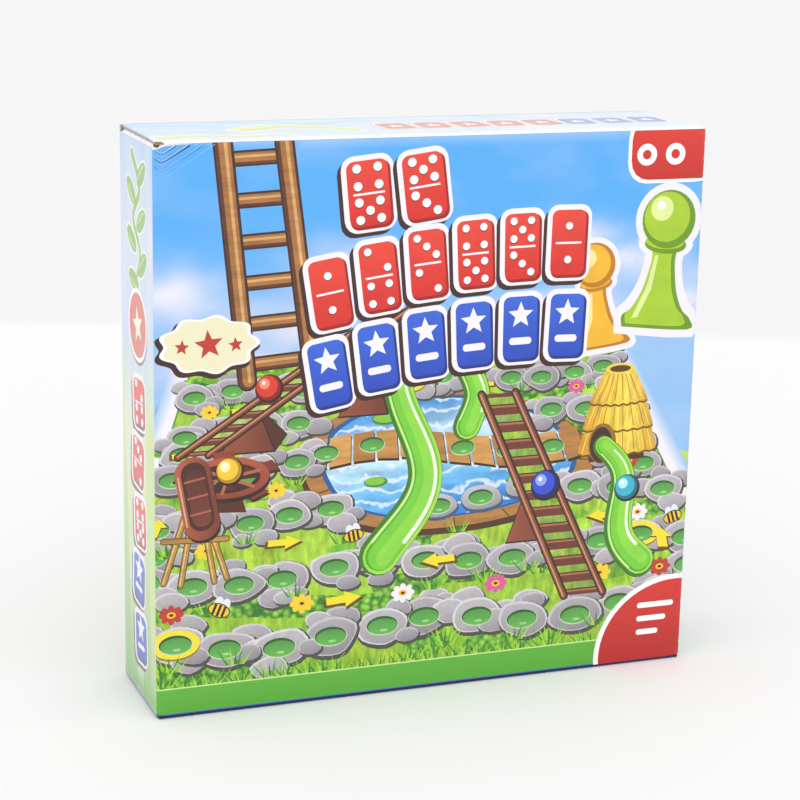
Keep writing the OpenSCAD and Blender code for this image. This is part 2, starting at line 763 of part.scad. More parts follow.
// Half-round thatched hut of flaring tiers, open behind, with a round-topped door
module hut_shell() {
    tiers = 3;
    tier_h = hut_h / tiers;
    door_r = channel_out_r;
    eaves_r = hut_w / 2;
    inside_r = eaves_r - hut_step - hut_wall;
    color("gold") in_cell(small_cells, 2, small_row_z) difference() {
        intersection() {
            rotate([-90, 0, 0]) rotate_extrude() polygon(concat(
                [[inside_r, 0]],
                [for (i = [0:tiers - 1], end = [0, 1])
                    [eaves_r - (i + 2 * end) * hut_step, (i + end) * tier_h]],
                [[0, hut_h], [0, hut_h - hut_wall], [inside_r - tiers * hut_step, hut_h - hut_wall]]
            ));
            translate([-eaves_r, 0, 0]) cube([hut_w, hut_h, eaves_r]);
        }
        translate([0, door_r, 0]) cylinder(r = door_r, h = hut_w);
        translate([-door_r, -overrun, 0]) cube([2 * door_r, door_r + overrun, hut_w]);
    }
}

// Snake's head that peers from the hut's door, flat below, with a rounded nose
module snake_head() {
    nose_r = head_w / 2;
    neck_r = head_w / 3;
    eye_r = head_w / 8;
    color("olivedrab") in_cell(small_cells, 3, small_row_z) {
        intersection() {
            linear_extrude(head_t) polygon(concat(
                arc_points(0, nose_r, nose_r, 180, 360, 12), [[neck_r, head_len], [-neck_r, head_len]]
            ));
            rotate([90, 0, 90]) linear_extrude(2 * head_w, center = true) polygon([
                [0, 0], [0, head_t / 3], [eye_r, head_t * 2 / 3], [nose_r, head_t],
                [head_len, head_t * 2 / 3], [head_len, 0]
            ]);
        }
        for (sx = [-1, 1]) translate([sx * head_w / 4, nose_r, head_t - eye_r / 2]) sphere(eye_r);
    }
}

// Two balls stand behind two others, all on the shelf
module ball(column, layer, paint) {
    color(paint) in_cell(small_cells, 4, small_row_z)
        translate([(column - 1 / 2) * ball_d, ball_d / 2, ball_d / 2 + layer * ball_step])
            sphere(ball_d / 2);
}

// Pips of each number, in quarters of the edge from the middle of a face
pip_faces = [
    [[0, 0]],
    [[-1, -1], [1, 1]],
    [[-1, -1], [0, 0], [1, 1]],
    [[-1, -1], [-1, 1], [1, -1], [1, 1]],
    [[-1, -1], [-1, 1], [0, 0], [1, -1], [1, 1]],
    [[-1, -1], [-1, 0], [-1, 1], [1, -1], [1, 0], [1, 1]]
];
// Turns that bring each face to the top, so that opposite faces add up to seven
pip_turns = [[0, 0, 0], [90, 0, 0], [0, 90, 0], [0, -90, 0], [-90, 0, 0], [180, 0, 0]];

// Radius of the ball that rounds the die's corners, in half edges
die_round = 1.55;

module die() {
    color("white") in_cell(small_cells, 5, small_row_z)
        translate([0, die_edge / 2, die_edge / 2]) difference() {
            intersection() {
                cube(die_edge, center = true);
                sphere(die_round * die_edge / 2);
            }
            for (n = [0:5], p = pip_faces[n]) rotate(pip_turns[n])
                translate([p[0] * die_edge / 4, p[1] * die_edge / 4, die_edge / 2]) sphere(pip_r);
        }
}

front_panel();
back_panel();
side_panel(-1);  // left_side_panel
side_panel(1);  // right_side_panel
seam_flap();
bottom_outer_flap();
bottom_inner_flap();
bottom_dust_flap(-1);  // bottom_dust_flap_left
bottom_dust_flap(1);  // bottom_dust_flap_right
top_cover();
top_tuck_flap();
top_dust_flap(-1);  // top_dust_flap_left
top_dust_flap(1);  // top_dust_flap_right
insert_tray();
lower_shelf();
upper_shelf();
ladder_divider();
slide_divider(0);  // slide_divider_1
slide_divider(1);  // slide_divider_2
slide_divider(2);  // slide_divider_3
small_divider(0);  // small_divider_1
small_divider(1);  // small_divider_2
small_divider(2);  // small_divider_3
small_divider(3);  // small_divider_4
small_divider(4);  // small_divider_5
rules_leaflet();
game_board_base();
game_board_sheet();
forked_snake_slide();
wavy_snake_slide();
short_snake_slide();
long_ladder();
long_ladder_trestle();
short_ladder();
short_ladder_trestle();
leaning_ladder();
paddle_wheel();
wheel_base();
dipper_lever();
dipper_stand();
hut_shell();
snake_head();
ball(0, 0, "red");  // ball_red
ball(1, 0, "blue");  // ball_blue
ball(0, 1, "yellow");  // ball_yellow
ball(1, 1, "teal");  // ball_teal
die();
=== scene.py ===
import json
import random
from math import ceil, copysign, cos, dist, exp, hypot, pi, radians, sin, sqrt, tan

import bpy
from mathutils import Matrix, Vector, geometry, noise


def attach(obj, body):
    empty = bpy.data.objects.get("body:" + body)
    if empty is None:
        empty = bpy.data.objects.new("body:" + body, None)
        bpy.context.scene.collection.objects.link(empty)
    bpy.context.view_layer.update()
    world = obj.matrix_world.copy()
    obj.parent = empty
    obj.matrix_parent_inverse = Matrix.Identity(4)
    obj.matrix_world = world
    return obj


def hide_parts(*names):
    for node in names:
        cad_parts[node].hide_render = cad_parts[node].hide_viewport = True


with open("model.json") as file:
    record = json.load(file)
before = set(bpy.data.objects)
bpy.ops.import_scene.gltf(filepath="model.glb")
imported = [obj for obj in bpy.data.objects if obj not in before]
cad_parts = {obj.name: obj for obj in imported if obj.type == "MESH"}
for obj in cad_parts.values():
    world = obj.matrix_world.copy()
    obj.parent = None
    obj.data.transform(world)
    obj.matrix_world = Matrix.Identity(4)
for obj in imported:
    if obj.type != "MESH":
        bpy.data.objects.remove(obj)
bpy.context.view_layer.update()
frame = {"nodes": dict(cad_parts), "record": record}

MM = 0.001
dice = random.Random(11)


# Colours and materials

TONES = {}


def rgb(code):
    """Linear colour of a #rrggbb code. A colour that is linear already stays as it is."""
    if isinstance(code, str) and code not in TONES:
        parts = [int(code[i:i + 2], 16) / 255 for i in (1, 3, 5)]
        TONES[code] = tuple(c / 12.92 if c <= 0.04045 else ((c + 0.055) / 1.055) ** 2.4 for c in parts)
    return TONES.get(code, code)


def mix(a, b, t):
    """The colour at t on the way from a to b."""
    t = min(1, max(0, t))
    return tuple(x + (y - x) * t for x, y in zip(rgb(a), rgb(b)))


class Nodes:
    """Adds nodes to a material or world. A value given as a socket is linked, and any other is set."""

    def __init__(self, name, kind="materials"):
        self.owner = getattr(bpy.data, kind).new(name)
        self.owner.use_nodes = True
        self.tree = self.owner.node_tree
        self.tree.nodes.clear()
        self.coords = self("TexCoord").outputs["Object"]

    def __call__(self, kind, values=None, **props):
        node = self.tree.nodes.new("ShaderNode" + kind)
        for k, v in props.items():
            setattr(node, k, v)
        for k, v in (values or {}).items():
            if isinstance(v, bpy.types.NodeSocket):
                self.tree.links.new(v, node.inputs[k])
            else:
                node.inputs[k].default_value = v
        return node

    def noise(self, scale, detail=2, stretch=None, rough=0.5):
        at = self.coords
        if stretch:
            at = self("Mapping", {"Vector": at, "Scale": stretch}).outputs[0]
        return self("TexNoise", {
            "Vector": at, "Scale": scale, "Detail": detail, "Roughness": rough}).outputs["Fac"]

    def spread(self, fac, low=0.3, high=0.7, to_low=0, to_high=1):
        return self("MapRange", {"Value": fac, "From Min": low, "From Max": high,
                                           "To Min": to_low, "To Max": to_high}).outputs[0]

    def grain(self, scale, detail=2, stretch=None, rough=0.5, low=0.3, high=0.7):
        """Noise with its contrast raised."""
        return self.spread(self.noise(scale, detail, stretch, rough), low, high)

    def blend(self, fac, a, b, kind="MIX"):
        node = self("Mix", {0: fac}, data_type="RGBA", blend_type=kind)
        for socket, v in ((node.inputs[6], a), (node.inputs[7], b)):
            if isinstance(v, bpy.types.NodeSocket):
                self.tree.links.new(v, socket)
            else:
                socket.default_value = (*rgb(v), 1)
        return node.outputs[2]

    def shaded(self, colour, fac, amount):
        """colour, made darker and lighter by up to amount as fac goes from 0 to 1."""
        shade = self.blend(fac, (1 - amount,) * 3, (1 + amount,) * 3)
        return self.blend(1, colour, shade, "MULTIPLY")

    def bump(self, height, strength, distance):
        return self("Bump", {
            "Height": height, "Strength": strength, "Distance": distance}).outputs[0]

    def finish(self, colour, roughness, normal, **sockets):
        shader = self("BsdfPrincipled", {
            "Base Color": colour, "Roughness": roughness, "Normal": normal,
            **{k.replace("_", " "): v for k, v in sockets.items()}})
        self("OutputMaterial", {"Surface": shader.outputs[0]})
        return self.owner

    def laminate(self, ink, roughness):
        """Glossy film over print."""
        return self.finish(ink, roughness, self.bump(self.noise(160), 0.05, 0.0002),
                           IOR=1.45, Coat_Weight=0.35, Coat_Roughness=0.1)


def plastic(name, code, gloss):
    n = Nodes(name)
    flow = n.noise(38, 3)
    return n.finish(n.shaded(code, n.spread(flow), 0.06),
                    n.spread(flow, to_low=gloss - 0.06, to_high=gloss + 0.08),
                    n.bump(n.noise(900), 0.12, 0.0002), IOR=1.49, Coat_Weight=0.25, Coat_Roughness=0.12)


def card(name, code, rough=0.62):
    n = Nodes(name)
    fibre = n.noise(700, 4, (1, 1, 0.35))
    return n.finish(n.shaded(n.shaded(code, n.spread(fibre), 0.035), n.noise(22, 3), 0.03),
                    n.spread(fibre, to_low=rough - 0.08, to_high=rough + 0.08),
                    n.bump(fibre, 0.25, 0.00015), IOR=1.45)


def fluted(name, code):
    """Bare corrugated board: brown liner with the flutes showing faintly through."""
    n = Nodes(name)
    fibre = n.grain(420, 5, (1, 1, 0.4), low=0.25, high=0.75)
    flute = n("TexWave", {"Vector": n.coords, "Scale": 100, "Distortion": 0.6},
              wave_type="BANDS", bands_direction="X").outputs["Fac"]
    return n.finish(n.shaded(n.shaded(code, fibre, 0.12), flute, 0.05), 0.86,
                    n.bump(flute, 0.25, 0.0003), IOR=1.4)


def game_sheet(name):
    """Printed face of the game board: grass, stones and water."""
    n = Nodes(name)
    blade = n.grain(190, 4, rough=0.6)
    cell = n("TexVoronoi", {"Vector": n.coords, "Scale": 62}).outputs["Distance"]
    stone = n.shaded(n.blend(n.spread(cell, 0.45, 0.62), "#B7B2B8", "#55623A"), blade, 0.08)
    water = n.blend(n.grain(60, 3, (1, 1, 2), low=0.35, high=0.65), "#2F84D8", "#A9DAF6")
    ink = n.blend(n.grain(11, 1, low=0.5, high=0.52), n.blend(blade, "#4F9A22", "#B9DA42"), stone)
    ink = n.blend(n.grain(6, 1, (1, 1, 1.3), low=0.6, high=0.61), ink, water)
    return n.laminate(ink, n.spread(blade, 0, 1, 0.3, 0.4))


# fine shading of each print: scale, detail, stretch, roughness, low, high, and then its depth
FINE = {
    "grass": (120, 3, None, 0.5, 0.35, 0.65, 0.16),
    "leaf": (160, 3, None, 0.5, 0.35, 0.65, 0.2),
    "stone": (260, 5, None, 0.65, 0.3, 0.7, 0.09),
    "wood": (150, 5, (0.35, 1, 2.2), 0.62, 0.3, 0.7, 0.24),
    "straw": (420, 4, (1, 1, 0.16), 0.6, 0.32, 0.68, 0.3),
    "gloss": (95, 3, None, 0.5, 0.3, 0.7, 0.07),
}


def printed(kind):
    """Laminated print. The ink comes from the mesh, and each kind adds its own fine detail."""
    n = Nodes("Print_" + kind)
    ink = n("Attribute", attribute_name="Ink").outputs["Color"]
    if kind == "sky":
        puff = n.grain(26, 5, (1, 1, 1.7), low=0.46, high=0.72)
        ink = n.blend(n.spread(puff, 0, 1, 0, 0.1), ink, "#F3EEF6")
    elif kind == "grass":
        blade = n.grain(330, 4, (1, 1, 0.28), 0.6, 0.32, 0.68)
        patch = n.grain(52, 4, (1, 1, 1.6), low=0.38, high=0.66)
        ink = n.blend(patch, n.shaded(ink, blade, 0.22), n.blend(blade, "#5FA024", "#C6D93A"))
    elif kind == "leaf":
        cell = n("TexVoronoi", {"Vector": n.coords, "Scale": 330}).outputs["Distance"]
        ink = n.blend(n.spread(cell, 0.15, 0.75), "#9AD84A", "#2E7A1E")
    elif kind == "water":
        wave = n("TexWave", {
            "Vector": n.coords, "Scale": 42, "Distortion": 9, "Detail": 3, "Detail Scale": 1.6},
            wave_type="BANDS", bands_direction="Z").outputs["Fac"]
        ripple = n.shaded(ink, n.grain(75, 3, (1, 1, 2.2)), 0.3)
        ink = n.blend(n.spread(wave, 0.72, 0.98, 0, 0.8), ripple, "#E8F4FB")
    if kind in FINE:
        *grain, depth = FINE[kind]
        ink = n.shaded(ink, n.grain(*grain), depth)
    ink = n.shaded(ink, n.grain(1500), 0.02)
    return n.laminate(ink, n.spread(n.noise(9), to_low=0.22, to_high=0.32))


STOCK_NAMES = ["print", "sky", "grass", "leaf", "stone", "water", "wood", "straw", "gloss"]
STOCKS = [printed(kind) for kind in STOCK_NAMES]
CORE = fluted("Board_core", "#CDBFA8")
LINER = card("Board_liner", "#D9D4CA", 0.8)
EDGE_OF, INSIDE_OF = len(STOCKS), len(STOCKS) + 1
CUT_TONE, LINER_TONE = (0.3,) * 3, (0.6,) * 3

SLOTS = {
    "printed_board": card("Board_print", "#7FB9E6", 0.35),
    "navy_board": card("Board_navy", "#141A52", 0.3),
    "plain_board": fluted("Board_brown", "#B08D62"),
    "white_card": card("Card_white", "#EDEBE6"),
    "leaflet_paper": card("Paper", "#F2EFE4", 0.8),
    "board_sheet": game_sheet("Sheet_print"),
}
for name, code, gloss in (
        ("green", "#58B62B", 0.3), ("lime", "#7FD637", 0.3), ("olive", "#7F9A2C", 0.3),
        ("brown", "#6A3320", 0.38), ("yellow", "#F2BF26", 0.3), ("red", "#C92A20", 0.25),
        ("blue", "#2440B8", 0.22), ("teal", "#2CA5B8", 0.22), ("white", "#F0EFEA", 0.25)):
    SLOTS[name + "_plastic"] = plastic("Plastic_" + name, code, gloss)

slot_of = {row["node"]: row["material_slot"] for row in frame["record"]["subparts"]}
for name, node in frame["nodes"].items():
    node.data.materials.clear()
    node.data.materials.append(SLOTS[slot_of[name]])


# Drawing tools, in mm on a flat panel

def rect(x0, y0, x1, y1):
    return [(x0, y0), (x1, y0), (x1, y1), (x0, y1)]


def placed(points, cx, cy, turn=0, scale=1):
    c, s = cos(turn) * scale, sin(turn) * scale
    return [(cx + x * c - y * s, cy + x * s + y * c) for x, y in points]


def disc(cx, cy, rx, ry=None, n=20, turn=0):
    ring = [(rx * cos(2 * pi * i / n), (ry or rx) * sin(2 * pi * i / n)) for i in range(n)]
    return placed(ring, cx, cy, turn)


def rounded(w, h, r, n=4):
    out = []
    for sx, sy, a0 in ((1, 1, 0), (-1, 1, 90), (-1, -1, 180), (1, -1, 270)):
        for i in range(n + 1):
            a = radians(a0 + 90 * i / n)
            out.append((sx * (w / 2 - r) + r * cos(a), sy * (h / 2 - r) + r * sin(a)))
    return out


def star(r_out, r_in, points=5):
    reach = [r_out, r_in] * points
    return [(r * sin(pi * i / points), r * cos(pi * i / points)) for i, r in enumerate(reach)][::-1]


def smooth(points, n=7):
    """A curve through the points."""
    ends = [points[0]] + list(points) + [points[-1]]
    out = []
    for near in zip(ends, ends[1:], ends[2:], ends[3:]):
        for i in range(n):
            t = i / n
            out.append(tuple(0.5 * (2 * b + (c - a) * t + (2 * a - 5 * b + 4 * c - d) * t * t
                                    + (3 * b - a - 3 * c + d) * t ** 3) for a, b, c, d in zip(*near)))
    return out + [tuple(points[-1])]


def winding(a, b, swing, waves, n=36):
    """A line from a to b that swings to both sides."""
    (x0, y0), (x1, y1) = a, b
    d = dist(a, b)
    out = []
    for k in range(n + 1):
        t = k / n
        off = swing * sin(2 * pi * waves * t) / d
        out.append((x0 + (x1 - x0) * t - (y1 - y0) * off, y0 + (y1 - y0) * t + (x1 - x0) * off))
    return out


def stroke(path, width, caps=True, shift=0):
    """Polygons that cover a path. width is one number, or one for each end."""
    w0, w1 = width if isinstance(width, tuple) else (width, width)
    last = len(path) - 1
    half = [(w0 + (w1 - w0) * i / last) / 2 for i in range(last + 1)]
    sides = []
    for i, p in enumerate(path):
        a, b = path[max(0, i - 1)], path[min(last, i + 1)]
        dx, dy = b[0] - a[0], b[1] - a[1]
        d = hypot(dx, dy) or 1
        sides.append((-dy / d, dx / d))
    mid = [(p[0] + n[0] * shift * h, p[1] + n[1] * shift * h) for p, n, h in zip(path, sides, half)]
    out = []
    for i in range(last):
        (x0, y0), (x1, y1) = mid[i], mid[i + 1]
        (nx0, ny0), (nx1, ny1) = sides[i], sides[i + 1]
        h0, h1 = half[i], half[i + 1]
        out.append([(x0 + nx0 * h0, y0 + ny0 * h0), (x0 - nx0 * h0, y0 - ny0 * h0),
                    (x1 - nx1 * h1, y1 - ny1 * h1), (x1 + nx1 * h1, y1 + ny1 * h1)])
    if caps:
        out += [disc(*mid[0], half[0], n=14), disc(*mid[-1], half[-1], n=14)]
    return out


def pebble(cx, cy, rx, ry, seed, n=3):
    """An uneven rounded stone."""
    rnd = random.Random(seed)
    wob = [0.82 + 0.26 * rnd.random() for _ in range(7)]
    turn = rnd.random() * 6.28
    ring = [(cx + rx * wob[i] * cos(turn + 2 * pi * i / 7),
             cy + ry * wob[i] * sin(turn + 2 * pi * i / 7)) for i in range(7)]
    return smooth(ring[-1:] + ring + ring[:2], n)[n:-n]


def split(ring, longest=7):
    """The ring with its long edges divided, so that they follow a bent panel."""
    out = []
    for a, b in zip(ring, ring[1:] + ring[:1]):
        n = max(1, ceil(dist(a, b) / longest))
        out += [(a[0] + (b[0] - a[0]) * i / n, a[1] + (b[1] - a[1]) * i / n) for i in range(n)]
    return out


def flat(code):
    tone = rgb(code)
    return lambda u, v: tone


def moved(points, dx, dy):
    return [(x + dx, y + dy) for x, y in points]


def ramp(p0, p1, *codes):
    """Colours from point p0 to point p1."""
    tones = [rgb(c) for c in codes]
    dx, dy = p1[0] - p0[0], p1[1] - p0[1]
    d2 = dx * dx + dy * dy

    def fill(u, v):
        t = min(0.9999, max(0, ((u - p0[0]) * dx + (v - p0[1]) * dy) / d2)) * (len(tones) - 1)
        i = int(t)
        return mix(tones[i], tones[i + 1], t - i)
    return fill


class Art:
    """Polygons in painter's order on a panel's unfolded outline."""

    def __init__(self, outline, fill, stock="print", grid=6):
        self.layers = [([outline], fill, stock)]
        xs, ys = [p[0] for p in outline], [p[1] for p in outline]
        self.box = min(xs), min(ys), max(xs), max(ys)
        self.spare = []
        self.dots(*self.box, grid)

    def dots(self, x0, y0, x1, y1, step):
        """Extra points, for soft colours and for bends."""
        x0, y0, x1, y1 = (max(x0, self.box[0]), max(y0, self.box[1]),
                          min(x1, self.box[2]), min(y1, self.box[3]))
        for i in range(1, int((y1 - y0) / step)):
            for j in range(1, int((x1 - x0) / step)):
                self.spare.append((x0 + (j + 0.5 * (i % 2)) * step, y0 + i * step))

    def add(self, polys, fill, stock="print"):
        if polys and isinstance(polys[0][0], (int, float)):
            polys = [polys]
        self.layers.append((polys, flat(fill) if isinstance(fill, str) else fill, stock))

    def line(self, path, width, fill, stock="print", **more):
        self.add(stroke(path, width, **more), fill, stock)

    def discs(self, cx, cy, *rows, stock="gloss"):
        """Discs about a point, each (offset, offset, radius, other radius or None, points, fill)."""
        for dx, dy, rx, ry, n, fill in rows:
            self.add(disc(cx + dx, cy + dy, rx, ry, n), fill, stock)

    def cut(self):
        """Triangles, each with the layer that shows on it."""
        verts, faces, owner, boxes = [], [], [], []
        for i, (polys, _, _) in enumerate(self.layers):
            for poly in polys:
                area = sum(a[0] * b[1] - b[0] * a[1] for a, b in zip(poly, poly[1:] + poly[:1]))
                if abs(area) < 1e-3:
                    continue
                ring = split(poly if area > 0 else poly[::-1])
                faces.append(list(range(len(verts), len(verts) + len(ring))))
                verts += ring
                owner.append(i)
                xs, ys = [p[0] for p in ring], [p[1] for p in ring]
                boxes.append((min(xs), min(ys), max(xs), max(ys)))
        verts += self.spare
        points, _, tris, _, _, inside = geometry.delaunay_2d_cdt(
            [Vector(v) for v in verts], [], faces, 1, 1e-3, True)

        def holds(k, x, y):
            x0, y0, x1, y1 = boxes[k]
            if not (x0 <= x <= x1 and y0 <= y <= y1):
                return False
            ring, odd = faces[k], False
            ax, ay = verts[ring[-1]]
            for i in ring:
                bx, by = verts[i]
                if (ay > y) != (by > y) and x < (bx - ax) * (y - ay) / (by - ay) + ax:
                    odd = not odd
                ax, ay = bx, by
            return odd

        kept = []
        for tri, ids in zip(tris, inside):
            x, y = (sum(points[i][k] for i in tri) / 3 for k in (0, 1))
            if not holds(0, x, y):
                continue
            top = next((k for k in sorted(ids, reverse=True) if holds(k, x, y)), 0)
            kept.append((tri, owner[top]))
        return [tuple(p) for p in points], kept


def linked(name, data):
    obj = bpy.data.objects.new(name, data)
    bpy.context.scene.collection.objects.link(obj)
    return obj


def panel(name, art, place, body, stands_for, thick=1.46, rolled=None):
    """A closed sheet of board: art on its outer face, cut core at its edges, liner inside.
    place gives the point in mm for (u, v) on the face and a depth into the board.
    rolled gives an edge that is pressed round two colours, at the print and at the liner; on the cover, the
    dark colour at the liner is painted shade."""
    points, kept = art.cut()
    used = sorted({i for tri, _ in kept for i in tri})
    index = {p: k for k, p in enumerate(used)}
    verts = [Vector(place(*points[p], 0)) * MM for p in used]
    faces, stock, inks = [], [], []
    for tri, layer in kept:
        _, fill, kind = art.layers[layer]
        faces.append([index[i] for i in tri])
        stock.append(STOCK_NAMES.index(kind))
        inks += [(*fill(*points[i]), 1) for i in tri]
    seen = dict.fromkeys((a, b) for tri in faces for a, b in zip(tri, tri[1:] + tri[:1]))
    rim = {a: b for a, b in seen if (b, a) not in seen}
    start = next(iter(rim))
    ring = [start]
    while rim[ring[-1]] != start:
        ring.append(rim[ring[-1]])
    if len(ring) != len(rim):
        raise RuntimeError(f"{name}: its outline is {len(ring)} of {len(rim)} edges")
    inner = {a: len(verts) + k for k, a in enumerate(ring)}
    verts += [Vector(place(*points[used[a]], thick)) * MM for a in ring]
    edge = STOCK_NAMES.index("print") if rolled else EDGE_OF
    outer_tone, inner_tone = rolled or (CUT_TONE, CUT_TONE)
    for a, b in zip(ring, ring[1:] + ring[:1]):
        faces.append([b, a, inner[a], inner[b]])
        stock.append(edge)
        inks += [(*rgb(outer_tone), 1)] * 2 + [(*rgb(inner_tone), 1)] * 2
    for tri in geometry.tessellate_polygon([[Vector(points[used[a]]).to_3d() for a in ring]]):
        a, b, c = (ring[k] for k in tri)
        pa, pb, pc = (points[used[k]] for k in (a, b, c))
        turn = (pb[0] - pa[0]) * (pc[1] - pa[1]) - (pb[1] - pa[1]) * (pc[0] - pa[0])
        if turn > 0:
            a, c = c, a
        faces.append([inner[a], inner[b], inner[c]])
        stock.append(INSIDE_OF)
        inks += [(*LINER_TONE, 1)] * 3
    mesh = bpy.data.meshes.new(name)
    mesh.from_pydata(verts, [], faces)
    for material in STOCKS + [CORE, LINER]:
        mesh.materials.append(material)
    mesh.polygons.foreach_set("material_index", stock)
    mesh.polygons.foreach_set("use_smooth", [True] * len(faces))
    layer = mesh.color_attributes.new("Ink", "FLOAT_COLOR", "CORNER")
    layer.data.foreach_set("color", [c for ink in inks for c in ink])
    mesh.set_sharp_from_angle(angle=radians(40))
    obj = linked(name, mesh)
    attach(obj, body)
    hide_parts(*stands_for)


# The carton's panels in space

HALF_W, HALF_D, BOARD = 135, 31, 1.5
FLAT = HALF_W - BOARD
ARC = BOARD * pi / 2
COVER_Z, TOP = 266.5, 268
COVER_X, COVER_BACK, DUST_Z = 134, 29.2, 264.9
TUCK_REACH, TUCK_LEAN = 16, radians(14)
CORNER_PUSH, CORNER_REACH = 1.1, 4.5
CREASES = ((4.6, 0.5), (8.2, 0.6), (12, 0.42), (15.5, 0.22))  # level below the fold, depth
CREASE_WIDTH = 0.75
BOW, BOW_SPREAD = 0.16, 0.12


def wear(x, y, z):
    """How far the crushed corner, top left at the front, is pushed in at a point, in mm."""
    d = sqrt((x + HALF_W) ** 2 + (0.6 * (y + HALF_D)) ** 2 + (TOP - z) ** 2)
    push = CORNER_PUSH * exp(-(d / CORNER_REACH) ** 2)
    if -HALF_W <= x < -100 and y < -29.4:
        # creases that run in a V about the corner
        along, down = x + HALF_W, COVER_Z - z
        for level, depth in CREASES:
            bend = level - 0.62 * max(0, along - 4) - 1.1 * max(0, 3.2 - along)
            fade = exp(-((along - 6) / 11) ** 2)
            push += depth * fade * exp(-((down - bend) / CREASE_WIDTH) ** 2)
    return push


def sag(p, low, high):
    """A shallow inward bow between two corners, with a slight unevenness, and none outside them."""
    s = 1
    for a, lo, hi in zip(p, low, high):
        k = (a - lo) / (hi - lo)
        s *= max(0, 4 * k * (1 - k)) ** 0.8
    wave = 0.5 + 0.5 * noise.noise(Vector((p[0] / 46, p[1] / 60, 3.1)))
    return s * (BOW + BOW_SPREAD * wave)


def facing(place, side):
    return lambda u, v, w: place(u, v, w, side)


def place_wall(u, v, w, side):
    """Front (side -1) or back (side 1) panel, turning both of the carton's corners."""
    if abs(u) <= FLAT:
        x, y = u, -HALF_D + (w + sag((u, v), (-FLAT, 2), (FLAT, 266)))
    else:
        a = (abs(u) - FLAT) / BOARD
        x = copysign(FLAT + (BOARD - w) * sin(a), u)
        y = -HALF_D + BOARD - (BOARD - w) * cos(a)
    if side < 0:
        push = wear(x, y, v)
        return x + 0.35 * push * (x < -130), y + push, v
    return -x, -y, v


def place_side(u, v, w, side):
    """Side panel. u runs to the right as seen from outside."""
    inward = w
    if abs(u) < 29 and 2 < v < 264:
        inward += sag((u, v), (-29.5, 1.5), (29.5, 265))
    x, y = side * (HALF_W - inward), side * u
    if side < 0:
        push = wear(x, y, v)
        return x + push, y, v
    return x, y, v


def place_cover(u, t, w):
    """Top cover, with t from where its fold leaves the front panel."""
    if t <= ARC:
        a = t / BOARD
        y, z = -HALF_D + BOARD - (BOARD - w) * cos(a), COVER_Z + (BOARD - w) * sin(a)
    else:
        y, z = -HALF_D + BOARD + t - ARC, TOP - w
        if t < 60 and abs(u) < 133:
            z -= sag((u, t), (-COVER_X, ARC), (COVER_X, 61)) * 0.7
    push = wear(u, y, z)
    return u + 0.3 * push * (u < -130), y + 0.5 * push * (y < -29), z - 0.8 * push


def place_dust(u, v, w, side):
    """A top dust flap: u runs along the carton's depth, v from where its fold leaves the side panel."""
    if v <= ARC:
        a = v / BOARD
        x, z = FLAT + (BOARD - w) * cos(a), DUST_Z + (BOARD - w) * sin(a)
    else:
        x, z = FLAT - (v - ARC), DUST_Z + BOARD - w
    y = side * u
    push = wear(-x, y, z) if side < 0 else 0
    return side * x + push, y, z - 0.4 * push


def place_tuck(u, v, w):
    """The tuck flap, seen from behind: v is up from its free edge."""
    reach = TUCK_REACH - v
    y = COVER_BACK - reach * sin(TUCK_LEAN) - w * cos(TUCK_LEAN)
    return -u, y, COVER_Z - reach * cos(TUCK_LEAN) + w * sin(TUCK_LEAN)


# Shared artwork

SKY_TOP, SKY_LOW, CLOUD, LILAC = "#55AEF5", "#94C3F2", "#F4F3FA", "#D9D6EC"
WHITE, SOOT = "#FDFDFD", "#2B130B"
PUFFS = [(-126, 198, 24, 15), (-44, 206, 26, 13), (-74, 182, 36, 13), (-100, 166, 44, 9), (20, 168, 60, 9),
         (72, 216, 22, 9), (98, 204, 28, 10), (132, 186, 26, 14), (60, 184, 40, 9)]


def sky(u, v):
    tone = mix(SKY_LOW, SKY_TOP, (v - 168) / 50)
    veil = 0
    for cx, cy, rx, ry in PUFFS:
        d = ((u - cx) / rx) ** 2 + ((v - cy) / ry) ** 2
        veil = max(veil, exp(-d * 1.1))
    veil *= 0.75 + 0.5 * noise.noise(Vector((u / 14, v / 9, 0.3)))
    tone = mix(tone, mix(LILAC, CLOUD, (v - 150) / 60), veil * 0.95)
    # whitish near the top edge: print worn at the fold, with painted highlight on the rounded fold
    near_edge = min(HALF_W + 2.4 - abs(u), COVER_Z + 0.4 - v)
    return mix("#DCEEFB", tone, near_edge / 0.7) if near_edge < 0.7 else tone


def bar(art, path, width, tones, rim=0.9, stock="gloss"):
    """A round bar in four tones: dark side, body, light and outline."""
    dark, body, light, outline = tones
    art.line(path, width + 2 * rim, outline)
    art.line(path, width, dark, stock)
    art.line(path, width * 0.72, body, stock, shift=0.22)
    art.line(path, width * 0.2, light, stock, shift=1.5)


def slide_art(art, path, width):
    """An open green channel seen from above: rims, floor and shine."""
    w0, w1 = width
    art.line(path, (w0 + 2, w1 + 2.4), "#3B7A1C", shift=-0.1)
    for run, near, far, tone, shift in (
            (path, 1, 1, "#A6E04E", 0), (path, 0.84, 0.84, "#4FAE24", -0.04),
            (path, 0.74, 0.74, "#79CF38", 0.04), (path, 0.42, 0.42, "#8EDB45", 0.5),
            (path[3:-4], 0.08, 0.12, "#F1FDE0", 5), (path[1:-1], 0.06, 0.06, "#D3F59A", -14.6)):
        art.line(run, (w0 * near, w1 * far), tone, "gloss", shift=shift)


def ball_art(art, at, r, dark, body, light):
    art.discs(*at, (0.4, -0.5, r * 1.12, None, 26, "#2A1510"), stock="print")
    art.discs(*at, (0, 0, r, None, 26, dark), (-r * 0.1, r * 0.1, r * 0.84, None, 24, body),
              (-r * 0.3, r * 0.32, r * 0.42, None, 18, light),
              (-r * 0.36, r * 0.4, r * 0.16, None, 12, "#FFFFFF"))


